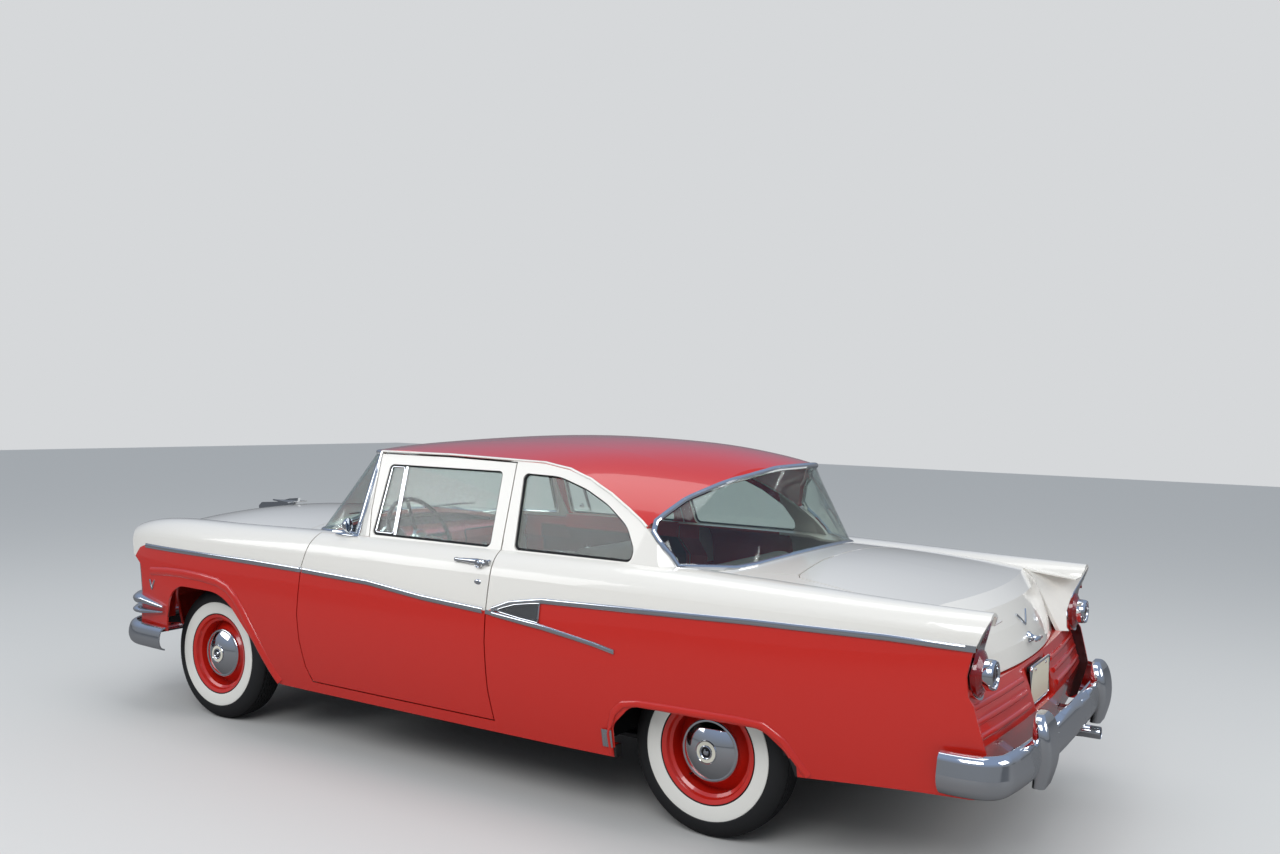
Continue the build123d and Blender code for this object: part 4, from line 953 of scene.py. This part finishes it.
# Columns: name, height at the front, height at the arch, thickness
for name, z_front, z_rear, thick in (("upper", 0.592, 0.572, 0.054), ("lower", 0.531, 0.546, 0.036)):
    wrap = []
    for i in range(7):
        wrap.append(from_left(nose_skin, 1.992 + 0.188 * i / 6, z_rear + (z_front - z_rear) * i / 6, 0.008))
    for degrees in range(84, 0, -6):
        turn = math.radians(degrees)
        out = Vector((math.cos(turn), math.sin(turn), 0))
        wrap.append(laid(nose_skin, Vector((2.18, 0.74, z_front)) + out * 0.8, -out, 0.01))
    end_bar = bead(wrap, thick, 0.07, resolution=8, swell=(0.25, 0.6, 0.85, 1, 1, 1, 1, 1))
    both_sides(end_bar, "grille_end_bar_" + name, chrome, smooth=60)

# Bright bezels round the headlamp glasses
bezel = turned([(86.8, -4), (86.8, 4), (88.5, 9.5), (92, 12.5), (96, 11.5), (98.8, 7), (99.2, 0),
                (99.2, -18), (90, -18), (86.8, -4)], (2.392, 0.705, 0.872), (1, 0, 0), 72)
both_sides(bezel, "headlamp_bezel", chrome, smooth=40)


# Seats: sprung benches in cloth and vinyl

def bench_pad(low, high, edge, lean=0.0, roll=0.0):
    """A plump closed form between two corners: rounded, leaning back by lean, with a thicker top."""
    pad = soft_edged_box(low, high, edge, 5)
    middle = (low[0] + high[0]) / 2
    for vertex in pad.data.vertices:
        rise = (vertex.co.z - low[2]) / (high[2] - low[2])
        fullness = roll * math.exp(-((rise - 0.86) / 0.16) ** 2)
        vertex.co.x = middle + (vertex.co.x - middle) * (1 + fullness) - lean * rise
    return pad


def stuffed(pad, voxel=0.018, most=0.012):
    """Blows a pad up as cloth under pressure, with no point moving further than most."""
    remesh = pad.modifiers.new("remesh", "REMESH")
    remesh.mode = "VOXEL"
    remesh.voxel_size = voxel
    apply_modifiers(pad)
    start = [v.co.copy() for v in pad.data.vertices]
    stuffing = pad.modifiers.new("stuffing", "CLOTH").settings
    stuffing.use_pressure = True
    stuffing.uniform_pressure_force = 4
    stuffing.effector_weights.gravity = 0
    for step in range(1, 21):
        bpy.context.scene.frame_set(step)
    apply_modifiers(pad)
    bpy.context.scene.frame_set(1)
    for vertex, first in zip(pad.data.vertices, start):
        move = vertex.co - first
        if move.length > most:
            vertex.co = first + move * (most / move.length)
    finer = pad.modifiers.new("finer", "SUBSURF")
    finer.levels = 1
    finer.render_levels = 1
    apply_modifiers(pad)
    return pad


def pleated(pad, facing, half_width, pitch, depth, keep):
    """Sewn channels pressed into the face of a pad, pitch apart, inside half_width."""
    count = round(half_width / pitch)
    for vertex, normal in zip(pad.data.vertices, [n.vector.copy() for n in pad.data.vertex_normals]):
        if normal.dot(facing) < 0.55 or not keep(vertex.co):
            continue
        if abs(vertex.co.y) > (count + 0.5) * pitch:
            continue
        off = (vertex.co.y / pitch - round(vertex.co.y / pitch)) * pitch
        swell = 0.35 * depth * math.cos(2 * math.pi * (off / pitch - 0.5))
        vertex.co -= normal * (depth * math.exp(-(off / 0.009) ** 2) - swell)


seat_up = Vector((0, 0, 1))
seat_forward = Vector((1, 0, 0))
# Columns: name, low corner, high corner, edge radius, lean, roll, way its pleats face, half width pleated
benches = (
    ("front_cushion", (-0.075, -0.67, 0.385), (0.49, 0.67, 0.6), 0.07, 0.0, 0.0, seat_up, 0.52),
    ("front_back_left", (-0.05, 0.012, 0.5), (0.07, 0.675, 0.985), 0.052, 0.075, 0.1, seat_forward, 0.6),
    ("front_back_right", (-0.05, -0.675, 0.5), (0.07, -0.012, 0.985), 0.052, 0.075, 0.1, seat_forward, 0.6),
    ("rear_cushion", (-0.93, -0.56, 0.36), (-0.44, 0.56, 0.595), 0.07, 0.0, 0.0, seat_up, 0.46),
    ("rear_back", (-0.985, -0.56, 0.5), (-0.835, 0.56, 1.01), 0.065, 0.06, 0.18, seat_forward, 0.46),
)
pads = {}
for name, low, high, edge, lean, roll, facing, pleat_width in benches:
    pad = stuffed(bench_pad(low, high, edge, lean, roll))

    def inside(spot, low=low, high=high, facing=facing):
        if facing is seat_up:
            return low[0] + 0.09 < spot.x < high[0] - 0.09
        return low[2] + 0.1 < spot.z < high[2] - 0.13

    pleated(pad, facing, pleat_width, 0.085, 0.007, inside)
    pad = settle(pad, name, [vinyl_grey, cloth], smooth=60)
    for polygon in pad.data.polygons:
        spot = polygon.center
        within = inside(spot) and low[1] + 0.08 < spot.y < high[1] - 0.08
        polygon.material_index = 1 if within and polygon.normal.dot(facing) > 0.5 else 0
    pads[name] = pad
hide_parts("front_seat")
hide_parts("rear_seat")

# Welts along the seams of the seats
for name, low, high, _, _, _, facing, _ in benches:
    skin = skin_of_meshes(pads[name].data)
    if facing is seat_up:
        welt = rounded_box(low[0] + 0.04, low[1] + 0.04, high[0] - 0.04, high[1] - 0.04, 0.05)
    else:
        welt = rounded_box(low[1] + 0.035, low[2] + 0.05, high[1] - 0.035, high[2] - 0.035, 0.05)
    ring = []
    for p in along(welt + welt[:1], 0.03)[:-1]:
        start = (p.x, p.y, 1.2) if facing is seat_up else (1.0, p.x, p.y)
        ring.append(laid(skin, start, -facing, -0.001))
    settle(bead(ring, 0.01, closed=True), name + "_welt", vinyl_cream)

# Metal frame under the front seat, with its adjuster track
for name, y in (("left", 0.5), ("right", -0.5)):
    track = soft_edged_box((-0.05, y - 0.018, 0.342), (0.44, y + 0.018, 0.372), 0.004, 2)
    foot_a = soft_edged_box((-0.03, y - 0.024, 0.331), (0.03, y + 0.024, 0.345), 0.003, 2)
    foot_b = soft_edged_box((0.36, y - 0.024, 0.331), (0.42, y + 0.024, 0.345), 0.003, 2)
    settle(joined([track, foot_a, foot_b]), "seat_track_" + name, chassis)
valance = soft_edged_box((-0.08, -0.655, 0.365), (0.475, 0.655, 0.4), 0.012, 3)
settle(valance, "front_seat_valance", vinyl_grey)
rear_base = soft_edged_box((-0.9, -0.55, 0.335), (-0.45, 0.55, 0.375), 0.012, 3)
settle(rear_base, "rear_seat_base", pile)

# Carpet on the floor, and the headlining on its bows
floor_skin = skin_of("floor_pan")
roof_skin = skin_of("roof")


def carpet_place(u, v):
    x, y = 1.0 - 1.76 * u, -0.79 + 1.58 * v
    spot = laid(floor_skin, (x, y, 0.62), (0, 0, -1), 0.006)
    height = spot.z if spot else 0.33
    return Vector((x, y, height + 0.0012 * math.sin(31 * x) * math.sin(27 * y)))


settle(laid_grid(90, 90, carpet_place), "floor_carpet", pile, smooth=60)


def lining_place(u, v):
    x, y = 0.52 - 1.2 * u, -0.6 + 1.2 * v
    spot = laid(roof_skin, (x, y, 1.25), (0, 0, 1), 0.014)
    height = spot.z if spot else 1.42
    sag = 0.01 * abs(math.sin(math.pi * u * 4)) ** 0.7
    return Vector((x, y, height - sag * (1 - abs(2 * v - 1) ** 3)))


settle(laid_grid(96, 48, lining_place, 0.003), "headlining", lining, smooth=50)

# Door cards with their pulls, arm rests and window cranks
door_skin = skin_of("door_left")


def door_face(x, z, lift):
    return laid(door_skin, (x, 0.3, z), (0, 1, 0), lift) or Vector((x, 0.8, z))


def card_place(u, v):
    rear, front, bottom, top = -0.205, 0.8, 0.385, 0.985
    spot = door_face(rear + (front - rear) * u, bottom + (top - bottom) * v, 0.005)
    ridge = 0.004 * math.exp(-((v - 0.72) / 0.02) ** 2) + 0.004 * math.exp(-((v - 0.3) / 0.02) ** 2)
    return spot - Vector((0, ridge, 0))


for panel in both_sides(laid_grid(64, 48, card_place), "door_card", [vinyl_red, cloth, pile], "door", 40):
    for polygon in panel.data.polygons:
        z = polygon.center.z
        polygon.material_index = 2 if z < 0.565 else (1 if z < 0.817 else 0)
for name, z in (("upper", 0.817), ("lower", 0.565)):
    line = [door_face(-0.205 + 0.0335 * i, z, 0.01) for i in range(31)]
    both_sides(bead(line, 0.012, 0.007), "door_card_strip_" + name, chrome, "door")
rest_spot = door_face(0.12, 0.7, 0)
arm = soft_edged_box((-0.08, rest_spot.y - 0.075, 0.675), (0.3, rest_spot.y - 0.004, 0.735), 0.022, 4)
both_sides(arm, "door_arm_rest", vinyl_red, "door")
for name, x, z, reach in (("window_crank", 0.3, 0.615, (0.085, -0.045)),
                          ("inner_handle", 0.47, 0.865, (-0.09, -0.008))):
    spot = door_face(x, z, 0.004)
    plate = turned([(0, 0), (24, 0), (22, 5), (13, 10), (10, 30), (0, 31)], spot, (0, -1, 0), 28)
    arm_end = spot + Vector((reach[0], -0.034, reach[1]))
    arm = bead([spot + Vector((0, -0.024, 0)), spot.lerp(arm_end, 0.5) + Vector((0, -0.014, 0)), arm_end],
               0.012, 0.009)
    knob = turned([(0, -12), (9, -10), (12, 4), (9, 14), (0, 16)], arm_end, (0, -1, 0), 20)
    both_sides(joined([plate, arm, knob]), "door_" + name, chrome, "door")

# Dashboard: hooded dial, strip, radio, glove box and knobs
dash_skin = skin_of("dashboard")


def dash_face(y, z, lift=0.0):
    return laid(dash_skin, (0.2, y, z), (1, 0, 0), lift) or Vector((0.85, y, z))


dial_spot = dash_face(0.37, 0.95, 0.002)
dial_up = Vector((0.25, 0, 1)).normalized()
dial_out = Vector((-1, 0, 0.25)).normalized()
bezel = turned([(98, 0), (108, 2), (110, 12), (104, 22), (98, 24), (95, 18), (94, 4)], dial_spot, dial_out)
settle(bezel, "speedometer_bezel", chrome)
settle(turned([(0, 6), (94, 6)], dial_spot, dial_out), "speedometer_dial", dial_paint)
marks = []
for i in range(13):
    turn = math.radians(210 - 20 * i)
    outward = Vector((0, math.cos(turn), 0)) + dial_up * math.sin(turn)
    on_dial = dial_spot + dial_out * 0.0075
    marks.append(bead([on_dial + outward * (0.07 if i % 2 else 0.063), on_dial + outward * 0.084], 0.0028))
needle_root = dial_spot + dial_out * 0.01
needle_way = Vector((0, 0.8, 0)) + dial_up * -0.35
marks.append(bead([needle_root, needle_root + needle_way * 0.08], 0.0026))
settle(joined(marks), "speedometer_marks", pale_enamel)
strip = [dash_face(0.62 - 0.04 * i, 0.845, 0.001) for i in range(32)]
settle(bead(strip, 0.02, 0.01), "dash_strip", chrome)
glove = rounded_box(-0.22, 0.88, -0.56, 0.985, 0.02)
glove_edge = bead([dash_face(p.x, p.y) for p in along(glove + glove[:1], 0.03)[:-1]], 0.006, closed=True)
settle(glove_edge, "glove_box_edge", seal)
lid_knob = turned([(0, -2), (16, 0), (14, 8), (0, 12)], dash_face(-0.39, 0.895), (-1, 0, 0), 24)
settle(lid_knob, "glove_box_button", chrome)
slats = []
for i in range(7):
    slat_line = [dash_face(0.085 - 0.017 * k, 0.905 + 0.013 * i, 0.001) for k in range(11)]
    slats.append(bead(slat_line, 0.006, 0.006))
settle(joined(slats), "speaker_slats", chrome)
knobs = []
for y, z in ((0.56, 0.86), (0.5, 0.86), (0.24, 0.86), (0.19, 0.86), (0.1, 0.868), (-0.1, 0.868),
             (0.03, 0.868)):
    knobs.append(turned([(0, -4), (6, -2), (6, 12), (12, 14), (13.5, 22), (11, 28), (0, 29)],
                        dash_face(y, z), (-1, 0, 0), 20))
settle(joined(knobs), "dash_knobs", chrome)

# Horn ring, column lever and turn lever
column_rake = math.radians(28)
wheel_axis = Vector((-math.cos(column_rake), 0, math.sin(column_rake)))
wheel_centre = Vector((0.69, 0.37, 1.005))
wheel_side = Vector((0, 1, 0))
wheel_top = wheel_side.cross(wheel_axis).normalized()


def on_horn(degrees):
    turn = math.radians(degrees)
    out = wheel_side * math.cos(turn) + wheel_top * math.sin(turn)
    return wheel_centre + wheel_axis * 0.022 + out * 0.14


horn = bead([on_horn(190 + 5 * i) for i in range(33)], 0.009)
arms = [bead([wheel_centre + wheel_axis * 0.02, on_horn(turn)], 0.01) for turn in (190, 350)]
cap = turned([(0, 40), (18, 38), (34, 30), (42, 18), (44, 4), (0, 4)], wheel_centre, wheel_axis, 40)
settle(joined([horn, cap] + arms), "horn_ring", chrome, "steering_wheel")
lever_root = wheel_centre - wheel_axis * 0.1
shift = bead([lever_root + Vector((0, -0.02, 0)), lever_root + Vector((-0.03, -0.12, 0.02)),
              lever_root + Vector((-0.05, -0.19, 0.025))], 0.01)
settle(shift, "shift_lever", chrome)
knob = turned([(0, -18), (10, -16), (16, -4), (16, 6), (10, 16), (0, 18)],
              lever_root + Vector((-0.052, -0.2, 0.025)), (0, 1, 0), 24)
settle(knob, "shift_knob", bakelite)
signal = bead([lever_root + Vector((0, 0.02, 0)), lever_root + Vector((-0.02, 0.13, 0.01))], 0.007)
settle(signal, "turn_lever", chrome)

# Rear-view mirror, sun visors and pedals
mirror_top = laid(roof_skin, (0.56, 0, 1.25), (0, 0, 1), 0.004) or Vector((0.56, 0, 1.47))


def below_top(x, y, z):
    """A spot measured from the middle of the windscreen's upper edge."""
    return mirror_top + Vector((x, y, z))


stalk = bead([mirror_top, below_top(-0.02, 0, -0.05), below_top(-0.035, 0, -0.075)], 0.01)
shell = soft_edged_box(below_top(-0.05, -0.115, -0.115), below_top(-0.03, 0.115, -0.06), 0.009, 3)
settle(joined([stalk, shell]), "cabin_mirror", chrome)
pane = soft_edged_box(below_top(-0.0525, -0.105, -0.108), below_top(-0.0495, 0.105, -0.067), 0.001, 1)
settle(pane, "cabin_mirror_glass", mirror_glass)
for name, y in (("left", 0.36), ("right", -0.36)):
    top = laid(roof_skin, (0.5, y, 1.25), (0, 0, 1), 0.03) or Vector((0.5, y, 1.43))
    visor = soft_edged_box(top + Vector((-0.15, -0.21, -0.012)), top + Vector((0.02, 0.21, 0.006)), 0.007, 3)
    settle(visor, "sun_visor_" + name, lining)
for name, y, z in (("clutch", 0.47, 0.47), ("brake", 0.33, 0.47), ("throttle", 0.21, 0.42)):
    pad_box = soft_edged_box((0.905, y - 0.035, z - 0.035), (0.922, y + 0.035, z + 0.035), 0.006, 3)
    arm = bead([(0.92, y, z), (0.96, y, z + 0.1), (1.01, y, z + 0.22)], 0.014)
    settle(joined([pad_box, arm]), "pedal_" + name, seal)

# Aprons between the engine bay and the front wheels, clear of the steered tyres
for name, side in sides:
    near, far = sorted((side * 0.46, side * 0.466))
    apron_wall = soft_edged_box((1.215, near, 0.5), (2.25, far, 0.818), 0.0015, 2)
    near, far = sorted((side * 0.46, side * 0.905))
    apron_shelf = soft_edged_box((1.215, near, 0.812), (2.12, far, 0.818), 0.0015, 2)
    near, far = sorted((side * 0.47, side * 0.89))
    ribs = [soft_edged_box((x, near, 0.8165), (x + 0.03, far, 0.8215), 0.002, 2)
            for x in (1.36, 1.56, 1.76, 1.96)]
    settle(joined([apron_wall, apron_shelf] + ribs), "wheel_apron_" + name, chassis)

# Wipers, parked low on the glass, and the air intake slots before them
# Columns: y, z, how far off the glass
blade_spots = [(0.06 + 0.055 * i, 1.098 + 0.00175 * i, 0.006) for i in range(9)]
arm_spots = ((0.3, 1.105, 0.013), (0.36, 1.094, 0.018), (0.43, 1.08, 0.016), (0.46, 1.07, 0.012))
for name, side in sides:
    blade_line = [laid(screen_skin, (3, side * y, z), (-1, 0, 0), lift) for y, z, lift in blade_spots]
    arm_line = [laid(screen_skin, (3, side * y, z), (-1, 0, 0), lift) for y, z, lift in arm_spots]
    blade_line = [spot for spot in blade_line if spot]
    settle(bead(blade_line, 0.007, 0.01), "wiper_blade_" + name, seal)
    carrier = bead([p + Vector((0.006, 0, 0.003)) for p in blade_line[1:-1]], 0.005)
    settle(joined([carrier, bead(arm_line, 0.008, swell=(0.8, 1, 1.5))]), "wiper_arm_" + name, chrome)
cowl_skin = skin_of("cowl")
slots = []
for i in range(15):
    y = (i - 7) * 0.044
    run = [laid(cowl_skin, (x, y, 2), (0, 0, -1), 0.0006) for x in (1.156, 1.168, 1.18)]
    slots.append(bead(run, 0.008, 0.002))
settle(joined(slots), "cowl_air_slots", seal)

# Bright tip of the tail pipe, and the tyre valves
tip_end = Vector((-2.496, -0.53, 0.33))
tip = turned([(24.6, -110), (26.8, -110), (27.5, -100), (27.5, -4), (26.5, 0), (25, 0.5), (23.8, -1),
              (23.2, -6)], tip_end, (-1, 0, 0), 40)
settle(tip, "exhaust_tip", chrome)
# A black disc closes the pipe 2 mm inside its mouth: soot, and painted shade in place of the dark depth of
# the bore
soot_and_shade_disc = turned([(0, -2.2), (23.8, -2.2)], tip_end, (-1, 0, 0), 32)
settle(soot_and_shade_disc, "exhaust_tip_bore", seal)
for place in places:
    hub, outward = wheel_middle(place)
    reach = hub + Vector((0.098, 0, -0.118))
    foot = laid(skin_of("rim_" + place), (reach.x, outward * 1.5, reach.z), (0, -outward, 0))
    stem = turned([(0, -4), (7.5, -4), (7, 4), (4.5, 10), (4.2, 20), (4.8, 21), (4.8, 28), (3, 30), (0, 30)],
                  foot, (0, outward, 0), 16)
    settle(stem, "tyre_valve_" + place, bakelite, "wheel_" + place, 40)

# Floor, lights and camera
floor_hex, asphalt_hex = "CFCFCD", "6C6C6D"
deselect()
bpy.ops.mesh.primitive_plane_add(size=60, location=(0, 0, 0))
floor = bpy.context.object
floor.name = "studio_floor"
floor_finish = finish_of("studio_floor", floor_hex, 0.85)
# Mirrored in the paint and the chrome, the floor is as dark as the asphalt of the photograph
floor_rays = add_node(floor_finish.node_tree, "LightPath")
floor_colours = {"Factor": floor_rays.outputs["Is Glossy Ray"], 6: paint_mix(floor_hex),
                 7: paint_mix(asphalt_hex)}
floor_mix = add_node(floor_finish.node_tree, "Mix", floor_colours, data_type="RGBA")
floor.data.materials.append(drive(floor_finish, "Base Color", floor_mix.outputs[2]))

world = bpy.data.worlds.new("studio")
bpy.context.scene.world = world
world.use_nodes = True
sky_tree = world.node_tree
sky = sky_tree.nodes["Background"]
sky_place = add_node(sky_tree, "TexCoord")
sky_parts = add_node(sky_tree, "SeparateXYZ", {"Vector": sky_place.outputs["Generated"]})
rise = {"Value": sky_parts.outputs["Z"], "From Min": 0.02, "From Max": 0.55}
sky_rise = add_node(sky_tree, "MapRange", rise)
seen = add_node(sky_tree, "LightPath")
# Columns: name, factor, what it mixes. Mirrored, the sky is clear over a dull horizon
shades = {}
for name, factor, *mixed in (
        ("lighting", sky_rise, paint_mix("3A3E44"), paint_mix("D5DBE2")),
        ("mirrored", sky_rise, paint_mix("7B7F85"), paint_mix("8C9DBA")),
        ("unseen", seen.outputs["Is Glossy Ray"], "lighting", "mirrored"),
        ("backdrop", seen.outputs["Is Camera Ray"], "unseen", paint_mix("D6D8DA"))):
    first, second = (shades[colour] if isinstance(colour, str) else colour for colour in mixed)
    shades[name] = add_node(sky_tree, "Mix", {"Factor": factor, 6: first, 7: second}, data_type="RGBA")
sky_tree.links.new(shades["backdrop"].outputs[2], sky.inputs["Color"])
sky.inputs["Strength"].default_value = 1.0

# Columns: name, place, aimed at, width, height, power
softboxes = (
    ("key", (-3.0, 7.5, 6.5), (0, 0, 0.6), 5.0, 4.0, 320),
    ("fill", (6.0, 6.0, 4.5), (0, 0, 0.6), 5.0, 3.0, 120),
    ("rear", (-8.0, -1.0, 4.0), (-1.0, 0, 0.6), 4.0, 3.0, 130),
    ("top", (0.0, 0.0, 8.0), (0, 0, 0), 7.0, 3.5, 120),
)
for name, spot, target, width, height, power in softboxes:
    lamp = bpy.data.lights.new(name, "AREA")
    lamp.shape = "RECTANGLE"
    lamp.size = width
    lamp.size_y = height
    lamp.energy = power
    box = bpy.data.objects.new(name, lamp)
    bpy.context.scene.collection.objects.link(box)
    box.location = spot
    box.rotation_euler = (Vector(target) - Vector(spot)).to_track_quat("-Z", "Y").to_euler()

camera_data = bpy.data.cameras.new("photo_view")
camera_data.sensor_width = 36
# Lens, place and angles were fitted to the wheels and the length of the car in the photograph
camera_data.lens = 32.09
camera = bpy.data.objects.new("photo_view", camera_data)
bpy.context.scene.collection.objects.link(camera)
bpy.context.scene.camera = camera
camera_spot = (-3.3824564, 4.77441094, 1.7070883)
yaw, pitch, roll = (math.radians(a) for a in (-58.11049, -0.99492, 1.39935))
ahead = Vector((math.cos(pitch) * math.cos(yaw), math.cos(pitch) * math.sin(yaw), math.sin(pitch)))
level = ahead.cross(Vector((0, 0, 1))).normalized()
upright = level.cross(ahead)
right = math.cos(roll) * level + math.sin(roll) * upright
up = math.cos(roll) * upright - math.sin(roll) * level
turn = Matrix((right, up, -ahead)).transposed().to_4x4()
camera.matrix_world = Matrix.Translation(camera_spot) @ turn

bpy.context.scene.view_settings.view_transform = "Standard"
